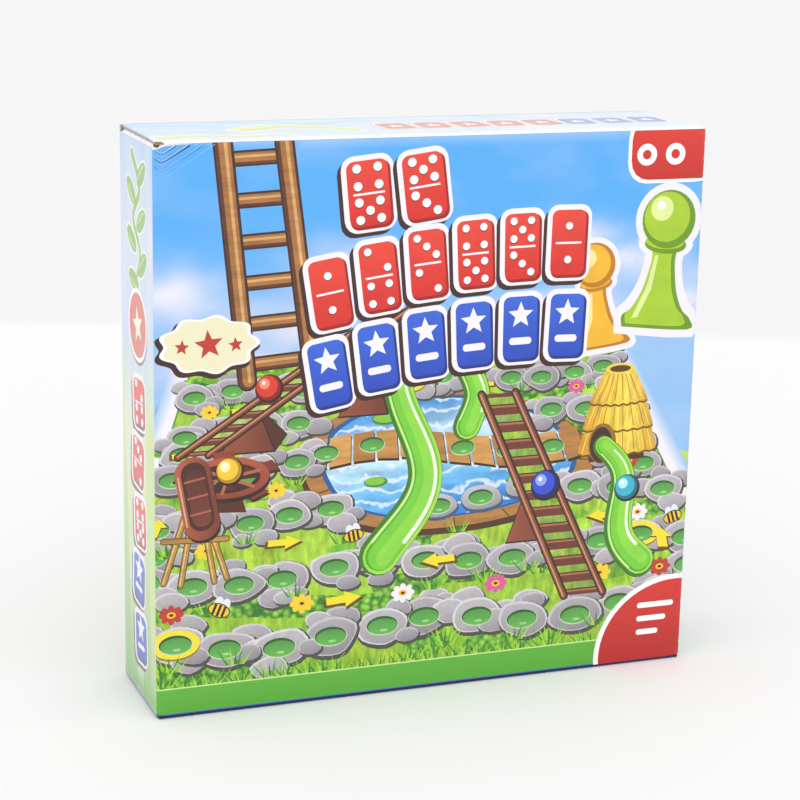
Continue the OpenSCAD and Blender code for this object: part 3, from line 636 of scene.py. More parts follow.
def flower(art, cx, cy, r, petal, heart, squash=0.7):
    for k in range(8):
        a = 2 * pi * k / 8
        art.add(disc(cx + r * 0.68 * cos(a), cy + r * 0.68 * squash * sin(a), r * 0.42,
                     r * 0.3, 8, a), petal)
    art.add(disc(cx, cy, r * 0.4, r * 0.4 * squash, 10), heart)
    art.add(disc(cx, cy, r * 0.2, r * 0.2 * squash, 8), "#5A2512")


def tuft(art, cx, cy, size, codes, seed):
    rnd = random.Random(seed)
    for k in range(7):
        lean = (k - 3) * 0.16 + rnd.uniform(-0.08, 0.08)
        tall = size * rnd.uniform(0.6, 1)
        x = cx + (k - 3) * size * 0.12
        art.add([(x - size * 0.07, cy), (x + size * 0.07, cy), (x + lean * tall * 1.6, cy + tall)],
                codes[k % len(codes)])


GRASS = ["#3E8E1C", "#7CC22E", "#A8D63C", "#2F7D18"]


# perspective of the pictured board: one mm at depth y shows as EYE / (NEAR + y) on the panel
EYE, NEAR, MIDDLE, HORIZON, EYE_HEIGHT = 537, 395, -40, 400, 278


def scale_at(y):
    return EYE / (NEAR + y)


def ground(x, y, z=0):
    """A point of the pictured board, drawn in perspective on the front panel."""
    s = scale_at(y)
    return MIDDLE + x * s, HORIZON - (EYE_HEIGHT - z) * s


def on_ground(points):
    return [ground(*p) for p in points]


def stones_art(art, x, y, seed):
    """One broad stone for a dimple, and smaller ones beside it."""
    rnd = random.Random(seed)
    cx, cz = ground(x, y)
    s = scale_at(y)
    stones = [(0, 0, 10.8, 7.2)]
    for k in range(3):
        a = rnd.uniform(0, 6.28)
        r = rnd.uniform(4.6, 7.6)
        stones.append((11.5 * cos(a), 7.4 * sin(a), r, r * 0.62))
    stones.sort(key=lambda p: -p[1])
    for k, (dx, dz, rx, rz) in enumerate(stones):
        px, pz = cx + dx * s, cz + dz * s
        n = 3 if rx > 8 else 2
        low, high, rim = rnd.choice([("#9A949B", "#BDB8BE", "#D2CED3"), ("#A49EA4", "#C4C0C5", "#DAD7DA"),
                                     ("#8F8A92", "#B3AEB5", "#C9C5CB")])
        art.add(pebble(px + 0.5 * s, pz - 0.8 * s, rx * s * 1.06, rz * s * 1.12, seed + k, n), "#4C4A42")
        art.add(pebble(px, pz, rx * s, rz * s, seed + k, n), rim, "stone")
        art.add(pebble(px + 0.2 * s, pz - 0.3 * s, rx * s * 0.92, rz * s * 0.9, seed + k, n),
                ramp((px, pz - rz * s), (px - rx * 0.3, pz + rz * s), low, high), "stone")


def hole(art, cx, cz, r):
    """A green dimple, seen at a slant."""
    tall = r * 0.58
    art.discs(cx, cz, (0.1, -0.3, r * 1.05, tall * 1.08, 20, "#C9DDB0"), stock="print")
    art.discs(cx, cz, (0, 0, r, tall, 20, "#2C5A22"),
              (r * 0.04, -r * 0.09, r * 0.95, tall * 0.87, 18,
               ramp((cx, cz + tall), (cx, cz - tall), "#4C9440", "#69B556")),
              (r * 0.1, -tall * 0.56, r * 0.26, tall * 0.15, 8, "#9BDA80"))


def bee(art, cx, cz, r, turn):
    def put(points, fill):
        art.add(placed(points, cx, cz, turn), fill)
    for sx in (-0.3, 0.4):
        put(disc(sx * r, r * 0.62, r * 0.4, r * 0.62, 14), "#E6EEF6")
    put(disc(0, 0, r * 1.06, r * 0.66, 20), "#2A1A08")
    put(disc(0, 0, r * 0.96, r * 0.56, 20), "#F5C92A")
    for sx in (-0.45, 0, 0.45):
        h = 0.54 * sqrt(1 - (sx / 0.98) ** 2)
        put(rect((sx - 0.12) * r, -h * r, (sx + 0.12) * r, h * r), "#2A1A08")


def arrow(art, x, y, turn, size=0.92):
    shape = [(-7, -2.4), (1, -2.4), (1, -5.2), (8, 0), (1, 5.2), (1, 2.4), (-7, 2.4)]
    c, s = cos(turn), sin(turn)
    for grow, fill, dy in ((1.18, "#6B4A10", -1.2), (1, "#F6E22B", 0)):
        art.add(on_ground([(x + size * grow * (px * c - py * s), y + dy + size * grow * (px * s + py * c))
                           for px, py in shape]), fill)


# Artwork of the front

def meadow(u, v):
    """What lies beyond the pictured board: sky, then smooth green hills."""
    crest = 104 + 9 * sin(u / 31 + 1.2)
    if v > crest:
        return sky(u, v)
    t = (crest - v) / 26
    return mix(mix("#8CC63E", "#BFE06A", t - int(t)), "#7DBB36", v < 40)


front = Art(rect(-FLAT - ARC, BOARD, FLAT + ARC, COVER_Z - 0.1), sky, "sky", 6)
front.dots(-136, 150, 136, 268, 3.6)
front.dots(-136, 244, -108, 268, 0.9)
front.dots(-136, 2, -133, 266, 1.1)
front.dots(133, 2, 136, 266, 1.1)
for base in (104, 78, 52):
    hill = [(u, base + 9 * sin(u / 31 + 1.2 + base)) for u in range(-140, 141, 7)]
    front.add(hill + [(140, -10), (-140, -10)],
              ramp((0, base - 30), (0, base + 6), "#8CC63E", "#C3E26C"))

# soft white glow, dark rim and grass of the board
BOARD_X0, BOARD_X1, BOARD_Y0, BOARD_Y1 = -92, 150, -14, 243
POND_X, POND_Y = 46, 134


def board_quad(grow):
    """The pictured board, grown at its sides and far edge."""
    x0, x1, y1 = BOARD_X0 - grow, BOARD_X1 + grow, BOARD_Y1 + grow
    return on_ground([(x0, BOARD_Y0), (x1, BOARD_Y0), (x1, y1), (x0, y1)])


for k in range(8):
    front.add(board_quad(12 - k), lambda u, v, share=(k + 1) / 8: mix(meadow(u, v), "#F4F1F6", share))
front.add(board_quad(1), "#5C9A34")
front.add(board_quad(0), ramp((0, 10), (0, 168), "#7DBB2E", "#A5D23A", "#B3DA45", "#93CC3E"), "grass")


def blob(x, y, rx, ry, seed):
    """An uneven rounded patch on the pictured board."""
    rnd = random.Random(seed)
    ring = [(x + rx * (1 - 0.3 * rnd.random()) * cos(pi * k / 5),
             y + ry * (1 - 0.3 * rnd.random()) * sin(pi * k / 5)) for k in range(10)]
    return on_ground(smooth(ring + ring[:1], 3)[:-1])


def in_pond(x, y, grow):
    return ((x - POND_X) / (60 + grow)) ** 2 + ((y - POND_Y) / (54 + grow)) ** 2 < 1


for k in range(46):
    x, y = dice.uniform(-90, 148), dice.choice([32, 70, 110, 150, 189, 230, -4]) + dice.uniform(-6, 6)
    front.add(blob(x, y, dice.uniform(12, 26), dice.uniform(5, 9), k), dice.choice(
        ["#5DB02E", "#4A9E28", "#6CBC34"]), "leaf" if k % 3 else "grass")

# pond with banks of planks
pond = smooth([(-4, 96), (24, 82), (66, 84), (100, 104), (106, 134), (90, 168), (58, 186), (20, 184),
               (-8, 162), (-14, 128), (-4, 96)], 6)[:-1]


def bank(grow, drop=0):
    """The pond's outline on the panel, grown about its middle."""
    return [ground(x + (x - POND_X) * grow, y + (y - POND_Y) * grow + drop) for x, y in pond]


front.add(bank(0.2, -3), "#4E2E14", "wood")
front.add(bank(0.17), "#B27C3F", "wood")
for ends in list(zip(bank(0.04), bank(0.17)))[::3]:
    front.line(ends, 0.6, "#5B371A", caps=False)
front.add(bank(0.045, 1), "#1F5C9E")
front.add(bank(0), ramp(ground(POND_X, 84), ground(POND_X, 184), "#2B7FD6", "#6DBCF1", "#C6E6F8", "#4C9FE4"),
          "water")
for k in range(12):
    x0, x1 = -24 + 11.6 * k, -13 + 11.6 * k
    y0, y1 = 138 + 8 * sin(k * 0.5), 138 + 8 * sin((k + 1) * 0.5)
    wob = dice.uniform(-1.6, 1.6)
    plank = [(x0, y0 - 14 + wob), (x1 - 0.6, y1 - 14), (x1 - 0.6, y1 + 13), (x0, y0 + 13 - wob)]
    front.add(on_ground(moved(plank, 0.4, -2.4)), "#3E2410")
    front.add(on_ground(plank), ["#C08A45", "#D09A52", "#B27C3C"][k % 3], "wood")
for x, y, r in [(16, 170, 6), (78, 104, 6), (10, 112, 5)]:
    front.discs(*ground(x, y), (0, 0, r * 1.2, r * 0.5, 16, "#3F8A26"),
                (-0.4, 0.4, r, r * 0.38, 14, "#86C93A"))

# the winding path of dimples
cells = []
for row, y in enumerate([12, 50, 90, 131, 170, 208]):
    for k in range(13):
        x = -85 + 19 * k
        cells.append((x + dice.uniform(-1.5, 1.5), y + 4 * sin(x / 17 + row) + dice.uniform(-1, 1)))
    if row < 5:
        cells.append((142 - dice.uniform(0, 3) if row % 2 == 0 else -84, y + 19))
cells.sort(key=lambda c: -c[1])
for k, (x, y) in enumerate(cells):
    if not in_pond(x, y, 8):
        stones_art(front, x, y, 100 + 9 * k)
for k, (x, y) in enumerate(cells):
    s = scale_at(y)
    if not in_pond(x, y, 8):
        if k % 17 == 5:
            front.discs(*ground(x, y), (0, -0.6, 9.2 * s, 5.6 * s, 26, "#8A7A12"),
                        (0, 0, 9 * s, 5.4 * s, 26, "#F6E22B"), stock="print")
        hole(front, *ground(x, y), 6 * s)
for k in range(6):
    x = -14 + 22.5 * k
    hole(front, *ground(x, 138 + 8 * sin((x + 24) / 23.2)), 6 * scale_at(138))
for x, y in [(58, 92), (80, 100), (38, 88)]:
    cx, cz = ground(x, y)
    front.add(pebble(cx + 0.4, cz - 1.2, 11.6, 7.2, 7 + x), "#3C5C74")
    front.add(pebble(cx, cz, 11, 6.6, 7 + x),
              ramp((cx, cz - 6), (cx - 2, cz + 6), "#9B969E", "#C9C5CB"), "stone")
    hole(front, cx, cz + 0.4, 6.4)

for k in range(70):
    x, y = dice.uniform(-88, 146), dice.choice([33, 71, 111, 151, 190, 232, -4]) + dice.uniform(-5, 5)
    if not in_pond(x, y, 12):
        tuft(front, *ground(x, y), 7.5 * scale_at(y), GRASS, k)
PETALS = {"red": "#C0392B", "gold": "#F4D32B", "pink": "#E05A9A", "pale": "#F4F0F6"}
for x, y, petal in [
        (-70, 32, "red"), (-20, 31, "gold"), (58, 31, "pink"), (128, 31, "red"), (-62, 71, "gold"),
        (128, 70, "pale"), (-74, 111, "pink"), (134, 112, "red"), (-46, 152, "red"), (-76, 190, "gold"),
        (122, 190, "pink"), (20, 31, "pale"), (-36, 112, "gold"), (102, 31, "gold"), (-86, 32, "pink")]:
    flower(front, *ground(x, y), 4.4 * scale_at(y), PETALS[petal], "#F7C52B")
for x, y, turn in [(-4, 31, 0.1), (112, 70, 3.1), (-30, 72, 0), (134, 50, 1.4), (-82, 150, 0.2),
                   (70, 200, 3.1), (-58, 190, 0.1), (128, 150, 2.9), (-86, 90, 1.5), (36, 50, 3.2)]:
    arrow(front, x, y, turn)
for x, y, turn in [(143, 64, 0.3), (-52, 32, -0.4), (0, 72, 0.2)]:
    bee(front, *ground(x, y), 4.2 * scale_at(y), turn)


def trestle_art(x, y, height):
    """A solid tapered stand."""
    top, far = ground(x, y, height), ground(x + 18, y + 12)
    left, right = ground(x - 13, y - 4), ground(x + 13, y - 4)
    front.add([left, right, far, (top[0] + 5, top[1]), (top[0] - 4, top[1])], SOOT)
    front.add([(left[0] + 0.7, left[1] + 0.8), (right[0] - 0.4, right[1] + 0.8), (top[0] + 3.4, top[1]),
               (top[0] - 3.4, top[1])], ramp(left, right, "#9A523A", "#6E3320"), "gloss")
    front.add([(right[0] + 0.4, right[1] + 0.9), (far[0] - 0.8, far[1]), (top[0] + 4.4, top[1]),
               (top[0] + 3.6, top[1])], "#552616", "gloss")


def across(rails, t):
    """The two points at t along a pair of rails."""
    return [tuple(u + (v - u) * t for u, v in zip(*rail)) for rail in rails]


def ladder_art(a, b, gap, rungs, width=3.2):
    """A channel ladder from a to b, each a point (x, y, z) above the board."""
    rails = low, high = [[ground(p[0] + s * gap, p[1], p[2]) for p in (a, b)] for s in (-1, 1)]
    front.add([low[0], low[1], high[1], high[0]], "#6F3623", "gloss")
    for k in range(rungs):
        (p, q), (p2, q2) = (across(rails, (k + part) / rungs) for part in (0.3, 0.78))
        front.add([p, q, q2, p2], ramp(p, p2, "#7FA048", "#B8CF7A"), "grass")
        front.line([p, q], width * 0.42, "#33160D", caps=False)
        front.line([(p[0], p[1] - 0.4), (q[0], q[1] - 0.4)], width * 0.3, "#B06A4A", "gloss", caps=False)
    for rail, body in zip(rails, ("#93502F", "#8A4930")):
        bar(front, rail, width, ("#4E2214", body, "#D19A78", SOOT), 0.5)


# thatched hut, far right, with a slide that comes out of it
hx, hz = ground(130, 122)
front.add(moved([(-15, -5), (15, -5), (13, 8), (-13, 8)], hx, hz), "#4A2C12", "wood")
for k, (w, top_w, y0, y1) in enumerate([(21, 17, 0, 16), (19, 13.5, 12, 28), (15.5, 7.5, 25, 41)]):
    skirt = [(hx - w + 2 * w * j / 14, hz + y0 - 1.5 * (1 - ((j - 7) / 7) ** 2) - (0.8 if j % 2 else 0))
             for j in range(15)]
    ridge = [(hx + top_w, hz + y1), (hx - top_w, hz + y1)]
    front.add(moved(skirt, 0, -1) + ridge, "#7A4F12")
    front.add(skirt + ridge,
              ramp((hx - w, 0), (hx + w, 0), "#C98F1E", "#F2C936", "#F7D94F", "#D29A22"), "straw")
    for j in range(13):
        x = hx - w + 2.4 + (2 * w - 4.8) * j / 12
        front.line([(x, hz + y0), (hx + (x - hx) * top_w / w, hz + y1 - 3)], 0.42,
                   "#A87718" if j % 2 else "#F9E27A", caps=False)
front.discs(hx, hz, (0, 41, 7.6, 2.6, 22, "#F4D552"), (0, 40.8, 5.6, 1.7, 20, "#5A3A10"),
            (-8, 4, 7.4, 10.2, 24, "#9A6A1A"), (-8.6, 3.4, 6, 9, 22, "#3C2410"), stock="print")
slide_art(front, winding((hx - 7, hz + 3), (hx + 15, hz - 57), 5.5, 1), (9, 15))
ball_art(front, (hx + 6, hz - 19), 6.2, "#1C6F86", "#39B4CC", "#B9EEF6")

# far tipping ladder over the pond's corner, and its ball
trestle_art(-52, 150, 20)
trestle_art(4, 178, 30)
ladder_art((-76, 132, 8), (22, 196, 44), 7, 11, 2.8)
ball_art(front, ground(-43, 154, 27), 6, "#8E1410", "#DE3A22", "#FF8E6C")

# forked slide that comes down towards the near edge
slide_art(front, smooth(on_ground([(44, 186, 36), (56, 168, 28), (62, 148, 20), (55, 128, 14)])), (9, 12))
slide_art(front, winding((-4, 184), (-20, 68), -11, 1.1, 44), (10, 18))

# wheel on its stand, left
wx, wz = ground(-56, 96, 16)
front.add(moved([(-7, -16), (9, -17), (4, 0), (-4, 0)], wx, wz), "#552616", "gloss")
for k in range(5):
    a = 2 * pi * (k + 0.3) / 5
    paddle = [(rx * cos(a + part), ry * sin(a + part)) for rx, ry, part in (
        (15, 7.5, -0.25), (26, 13, -0.2), (26, 13, 0.22), (15, 7.5, 0.3))]
    front.add([(wx + x, wz + y - 1.2) for x, y in paddle], "#3A170D")
    front.add([(wx + x * 0.98, wz + y * 0.98) for x, y in paddle], ramp(
        (wx - 20, wz), (wx + 20, wz + 8), "#A5452B", "#7C3422"), "gloss")
front.discs(wx, wz, (0, -1.6, 20.4, 10.2, 40, SOOT), stock="print")
front.discs(wx, wz, (0, 0, 20, 9.8, 40, ramp((wx, wz - 10), (wx, wz + 10), "#8E3F28", "#B4573A")))
front.discs(wx, wz, (0, -0.2, 15.6, 7, 36, "#3E1A10"), stock="print")
for k in range(6):
    a = 2 * pi * k / 6 + 0.35
    c, s = cos(a), sin(a)
    front.add([(wx + 4 * c, wz + 2 * s), (wx + 13.6 * c, wz + 6 * s),
               (wx + 13.6 * cos(a + 0.55), wz + 6 * sin(a + 0.55))],
              "#6FA03A" if k % 2 else "#552616", "gloss")
    front.line([(wx, wz), (wx + 16.5 * c, wz + 7.8 * s)], 1.5, "#B4664A", "gloss", caps=False)
ball_art(front, (wx + 0.6, wz + 3.4), 6, "#B98A10", "#F4C92B", "#FFF0A8")

# scoop on bamboo legs, near left
sx, sz = ground(-62, 40, 34)
for x0, x1 in ((-15, -4), (15, 4), (-7, -1), (9, 3)):
    leg = [(sx + x0, sz - 36 + abs(x0) * 0.2), (sx + x1, sz + 1)]
    front.line(leg, 3.2, "#5B3E14")
    front.line(leg, 2.3, "#B98D42", "wood")
    front.line(leg, 0.6, "#E2C078", "wood", shift=1.2)
for wide, tone, stock in ((3, "#5B3E14", "print"), (2.1, "#B98D42", "wood")):
    front.line([(sx - 15, sz - 13), (sx + 15, sz - 14)], wide, tone, stock)


def scooped(points, dx, dz):
    """Points of the scoop, which leans."""
    return placed(points, sx + dx, sz + dz, 0.18)


scoop = scooped(rounded(17, 40, 8, 6), 1, 6)
front.add(moved(scoop, 0.6, -1.4), SOOT)
front.add(scoop, ramp((sx - 8, 0), (sx + 9, 0), "#B25E43", "#7C3824"), "gloss")
front.add(scooped(rounded(12, 33, 5.6, 6), 1.2, 7), "#4A2013", "gloss")
front.add(scooped(rounded(9, 27, 4.2, 6), 1.6, 6),
          ramp((sx, sz - 10), (sx, sz + 22), "#7A3C28", "#54261A"), "gloss")
for j in (-8, 0, 8):
    front.line(scooped([(-5, j), (5, j)], 1.2, 7), 1, "#A9604A", "gloss", caps=False)
front.line(scooped([(-7, -12), (-7, 12)], 1, 6), 0.8, "#E0A68C", "gloss")

# near tipping ladder, right of the middle
trestle_art(78, 60, 22)
ladder_art((92, 16, 2), (66, 100, 42), 8, 12, 3.4)
ball_art(front, ground(81, 52, 26), 7, "#14206E", "#2F4FD0", "#93A9FF")

# near-edge grass and the band along the bottom
for k in range(50):
    tuft(front, -138 + k * 5.6 + dice.uniform(-2, 2), 12.6 + dice.uniform(-1, 2), dice.uniform(6, 11),
         GRASS, 300 + k)
for top_v, fill in ((14.8, "#CDEB93"), (14.1, ramp((0, 1), (0, 14), "#56AB30", "#5FB137")),
                    (2.3, "#3F74B8"), (1.8, "#16246E")):
    front.add(rect(-140, 0, 140, top_v), fill)

# wooden ladder leaning in the sky, left
POLE = "#5F3317", "#A9713C", "#D9A768", "#3A1C0C"
rails = [(-104, 270), (-92, 158)], [(-76, 271), (-61, 160)]
for k in range(6):
    bar(front, across(rails, 0.1 + k / 6), 5.6, POLE, 0.8, "wood")
for rail in rails:
    bar(front, rail, 7.6, POLE, stock="wood")


def pawn(cx, cy, k, dark, body, light, turn=0):
    """A playing piece with a round head, a collar and a wide foot."""
    foot = smooth([(-13, 0), (-13.5, 4), (-10, 7), (-6.6, 14), (-4.6, 24), (-4.2, 30), (4.2, 30), (4.6, 24),
                   (6.6, 14), (10, 7), (13.5, 4), (13, 0), (-13, 0)], 4)[:-1]

    def put(points):
        return placed(points, cx, cy, turn, k)
    skirt = [(-15.6, -2.6), (-16.4, 5.4), (-12.6, 9.6), (-9.2, 16), (-7.4, 24), (-7, 30)]
    skirt = smooth(skirt + [(-x, y) for x, y in skirt[::-1]] + skirt[:1], 3)[:-1]
    halo = [skirt, disc(0, 39, 13, n=30), disc(0, 30.4, 10.8, 5.8, 24)]
    front.add([put(p) for p in halo], "#F3F0F6")
    front.add(put(foot), dark, "gloss")
    front.add(put([(x * 0.84 - 0.8, y * 0.94 + 1.2) for x, y in foot]), body, "gloss")
    front.add(put([(-9.6, 3.2), (-7.4, 3.6), (-3.2, 14), (-2.2, 26), (-3.4, 26), (-5.4, 14)]),
              light, "gloss")
    for ring, tone in ((disc(0, 30, 8.2, 3.3, 24), dark), (disc(-0.4, 31, 7.6, 2.7, 24), body),
                       (disc(0, 39, 10.4, n=30), dark), (disc(-0.8, 39.8, 8.9, n=28), body),
                       (disc(-3.2, 42.6, 4.4, n=20), light), (disc(-3.8, 43.6, 1.7, n=12), "#FFFFFF")):
        front.add(put(ring), tone, "gloss")


pawn(84, 163, 1.04, "#C07E0E", "#F4B92B", "#FFE79A", 0.12)
pawn(112, 171, 1.36, "#6E9A12", "#A9CF2C", "#E6F29A", -0.1)


def tile(art, cx, cy, wide, tall, turn, face, edge, mark, shadow="#3B1C18"):
    """A thick upright tile: a red one has pips, a blue one a star and a bar."""
    def put(points, fill, dx=0, dy=0, stock="print"):
        art.add(placed(points, cx + dx, cy + dy, turn), fill, stock)

    def at(x, y):
        return placed([(x, y)], cx, cy, turn)[0]
    border = rounded(wide + 4.4, tall + 4.4, wide * 0.3)
    put(border, shadow, -1.8, -2)
    put(border, "#F6F3F8")
    put(rounded(wide, tall, wide * 0.2), edge, 0.6, -0.8)
    put(rounded(wide - 1, tall - 1, wide * 0.18),
        ramp((cx, cy - tall / 2), (cx, cy + tall / 2), *face), -0.2, 0.2, "gloss")
    if mark < 0:
        art.add(placed(star(wide * 0.36, wide * 0.16), *at(0, tall * 0.2), turn), "#F6F3F8")
        art.add(placed(rounded(wide * 0.62, tall * 0.11, tall * 0.05), *at(0, -tall * 0.2), turn), "#F6F3F8")
        return
    put(rect(-wide * 0.36, -0.5, wide * 0.36, 0.5), "#F6F3F8")
    half = {1: [(0, 0)], 2: [(-1, 1), (1, -1)], 3: [(-1, 1), (0, 0), (1, -1)],
            4: [(-1, 1), (1, 1), (-1, -1), (1, -1)], 5: [(-1, 1), (1, 1), (0, 0), (-1, -1), (1, -1)]}
    for count, level in ((mark % 5 + 1, tall * 0.25), ((mark * 3) % 5 + 1, -tall * 0.25)):
        for drop, r, tone in ((0.4, 0.105, "#7E130D"), (0, 0.1, "#FBFAFC")):
            for x, y in half[count]:
                art.add(disc(*at(x * wide * 0.24, level + y * tall * 0.13 - drop), wide * r, n=16), tone)


# the face and the edge of a tile
RED = ("#D8261B", "#EC4634"), "#A0150E"
BLUE = ("#2146BC", "#3566DA"), "#142F86"
for k in range(2):
    tile(front, -35 + 27 * k, 241.5 + 2.4 * k, 21, 31, 0.1 + 0.03 * k, *RED, 3 + k)
for k in range(6):
    tile(front, -53 + 23.6 * k, 201 + 3.6 * k - 0.7 * (k - 2.5) ** 2, 18.4, 32, 0.16 - 0.035 * k, *RED, k)
for k in range(6):
    tile(front, -53 + 23.7 * k, 164 + 3.2 * k - 0.8 * (k - 2.5) ** 2, 18.4, 31, 0.17 - 0.04 * k, *BLUE, -1)

# scalloped plate with stars
PX, PZ = -110, 176
plate = [(21 * cos(a) * (1 + 0.07 * cos(9 * a)), 12 * sin(a) * (1 + 0.07 * cos(9 * a)))
         for a in (2 * pi * k / 90 for k in range(90))]
for grow, dx, dz, fill in ((1.12, -1.2, -1.6, "#3B1F12"), (1.07, 0, 0, "#FBF9F6"), (0.98, 0, 0, "#F1ECC6")):
    front.add([(PX + dx + x * grow, PZ + dz + y * grow) for x, y in plate], fill)
front.add(placed(star(7, 3), PX, PZ, 0.1), "#C4392A")
for side in (-1, 1):
    front.add(placed(star(3.6, 1.6), PX + side * 12.5, PZ - 0.6, 0.1 * side), "#C4392A")

# red tag at the top right and round badge at the bottom right
tag = placed(rounded(60, 28, 9), 126, 257)
front.add([(x + (x - 126) * 0.06, y + (y - 257) * 0.12) for x, y in tag], WHITE)
front.add(tag, ramp((94, 242), (94, 268), "#C6231B", "#E0372A"))
for x in (104, 119):
    front.discs(x, 255, (0, 0, 5.2, None, 22, WHITE), (0, 0, 2.3, None, 14, "#D42C21"), stock="print")
front.discs(131, 4, (0, 0, 44, 41, 60, WHITE),
            (0, 0, 41.4, 38.4, 60, ramp((129, 4), (129, 45), "#B81F18", "#DB3226")), stock="print")
for k in range(3):
    front.add(placed(rounded(20 - 4 * k, 2.8, 1.3), 120 - 2 * k, 30 - 7 * k), WHITE)

# crushed corner: creased print, with painted shade just below each crease and painted highlight just above
# it, whitish where the print has cracked, and painted shade where the tip has opened
for level, wide, tone in (
        (4.9, 0.55, "#0F4D92"), (8.5, 0.7, "#0C3F7C"), (12.3, 0.45, "#2E7FCB"), (4.2, 0.5, "#BFE2FA"),
        (7.7, 0.5, "#A9D8FA"), (11.7, 0.4, "#8CC8F8"), (15.2, 0.3, "#8CC8F8")):
    arm = []
    for k in range(12):
        x = 0.4 + k * (0.9 + level * 0.105)
        dip = hypot(x - 3.6, 1) - 1
        arm.append((-HALF_W + x, COVER_Z - level + (1 if x < 3.6 else 0.62) * dip))
    front.line([q for q in arm if q[1] < COVER_Z - 0.7], (wide * 0.3, wide), tone, "sky", caps=False)
front.add([(-136, 263.6), (-133.2, 264.2), (-129.5, 265.4), (-123, 265.9), (-118, 266.1), (-118, 268),
           (-136, 268)], "#EDE9E4")
# painted shade in the opened tip of the corner
front.add([(-134.9, 265.3), (-133.4, 264.7), (-131.9, 265.5), (-132.9, 267), (-134.9, 267)], "#2A1710")
panel("Front_print", front, facing(place_wall, -1), "carton", ["front_panel"])


# Artwork of the sides, top and back

SIDE_WASH = ramp((0, 0), (0, 265),
                 "#A3CBA2", "#BCD9A6", "#D6E6AE", "#DDE8C8", "#BBD3F3", "#D6DFF3", "#A4C9F5")


def side_fill(u, v):
    streak = noise.noise(Vector((u / 9, v / 34, 5)))
    tone = mix(SIDE_WASH(u, v), "#F3F6F4", 0.2 + 0.3 * streak)
    low = min(1, max(0, (168 - v) / 40))
    tone = mix(tone, "#C6E27C", low * 0.8 * min(1, max(0, (u - 12 - 3 * sin(v / 22)) / 7)))
    return mix(tone, "#CFE59A", low * 0.7 * min(1, max(0, (-u - 19 - 3 * sin(v / 17)) / 5)))


def vine_art(art, x, y, tall):
    stem = smooth([(x - 7, y), (x + 6, y - tall * 0.25), (x - 6, y - tall * 0.5), (x + 6, y - tall * 0.75),
                   (x - 2, y - tall)])
    leaves = [(x + 9, y - tall * 0.14, 0.6), (x - 9, y - tall * 0.3, 2.6), (x + 8, y - tall * 0.5, 0.5),
              (x - 9, y - tall * 0.68, 2.7), (x + 10, y - tall * 0.84, 0.6), (x - 6, y - tall, 2.9)]
    for grow, tone in ((2.4, "#F6F7F0"), (0, "#8CBF55")):
        art.line(stem, (4.6 + grow, 2.4 + grow), tone)
        for lx, ly, t in leaves:
            art.add(disc(lx, ly, 9.2 + grow / 2, 4.4 + grow / 2, 20, t), tone)
    for lx, ly, t in leaves:
        c, s = cos(t), sin(t)
        art.add(placed(disc(0, 1.2, 7, 1.8, 16), lx, ly, t), "#A9D57A")
        art.line([(lx - 7 * c, ly - 7 * s), (lx + 8 * c, ly + 8 * s)], 0.5, "#6C9F42", caps=False)


def side_art(side):
    art = Art(rect(-HALF_D + BOARD, BOARD, HALF_D - BOARD, DUST_Z),
              lambda u, v: side_fill(-side * u, v), "print", 3)
    art.dots(-31, 236, 31, 266, 1.6)
    for x0, w, top_v in ((-26, 9, 118), (-12, 7, 66), (14, 8, 92), (24, 5, 40)):
        art.add(smooth([(x0 - w, 0), (x0 - w * 0.7, top_v * 0.6), (x0, top_v), (x0 + w * 0.7, top_v * 0.5),
                        (x0 + w, 0)], 5), ramp((0, 0), (0, top_v), "#8DBF78", "#CFE0A8"))
    vine_art(art, 0, 258, 58)
    art.discs(0, 180, (0.6, -1, 17.4, None, 44, "#7E5A4C"), (0, 0, 17.2, None, 44, "#FBFBFB"),
              (0, 0, 15, None, 44, "#DC6A50"), stock="print")
    art.add(placed(star(9, 3.8), 0, 180, 0.2), "#FFF6D8")
    for k in range(5):
        kind = (*RED, k + 1) if k < 3 else (*BLUE, -1)
        tile(art, 1.5 * (-1) ** k, 144 - 28.5 * k, 20, 22.5, 0.07 * (-1) ** k, *kind, shadow="#6A4A40")
    for k in range(12):
        tuft(art, -28 + 5 * k, 3 + (k % 3), 9, ["#7FB95A", "#A9D07C", "#6AA84A"], 50 + k)
    art.add(rect(-30, 0, 30, 2.4), "#6F93CF")
    return art


for side, part in ((-1, "left"), (1, "right")):
    panel("Side_print_" + part, side_art(side), facing(place_side, side), "carton", [part + "_side_panel"])


def top_fill(u, t):
    tone = mix("#CFE8FB", "#A5D5FA", (t - 8) / 50)
    drift = noise.noise(Vector((u / 30, t / 9, 2.2)))
    tone = mix(tone, "#F7F9FB", 0.25 + 0.6 * drift)
    tone = mix(tone, "#F7F5FA", 0.5 * (u + HALF_W) / 270)
    # whitish over the fold at the front edge: print worn there, with painted highlight on the rounded fold
    return mix("#F6F8F8", tone, (t - 0.9) / 1.2)


top = Art(rect(-COVER_X, 0, COVER_X, ARC + 58.7), top_fill, "print", 4)
for t in (0, 0.5, 1, 1.5, 2, 2.5, 3.2):
    top.spare += [(-133 + 4 * k, t + 0.02) for k in range(67)]
top.dots(-134, 0, -112, 20, 1.2)
for path, w in (([(-128, 8), (-112, 12), (-92, 7), (-70, 9)], 9),
                ([(-86, 30), (-66, 38), (-44, 30), (-34, 20)], 13)):
    path = smooth(path)
    top.line(path, (w + 3, w * 0.5 + 3), "#FBFBF4")
    top.line(path, (w, w * 0.5), "#EEF09A")
    top.line(path, (w * 0.4, w * 0.2), "#D8E57E", shift=-0.8)
for k in range(8):
    x, turn = -12 + 18.5 * k, 0.06 * (-1) ** k
    for shape, dx, dt, fill in (
            (rounded(18, 23, 4), -0.8, -0.8, "#C9A8A4"), (rounded(18, 23, 4), 0, 0, WHITE),
            (rounded(15, 20, 3), 0, 0, "#E2776C" if k < 5 else "#7C93D8"), (star(5.2, 2.2), 0, 0, "#FFFFFF")):
        top.add(placed(shape, x + dx, 30 + dt, turn), fill)
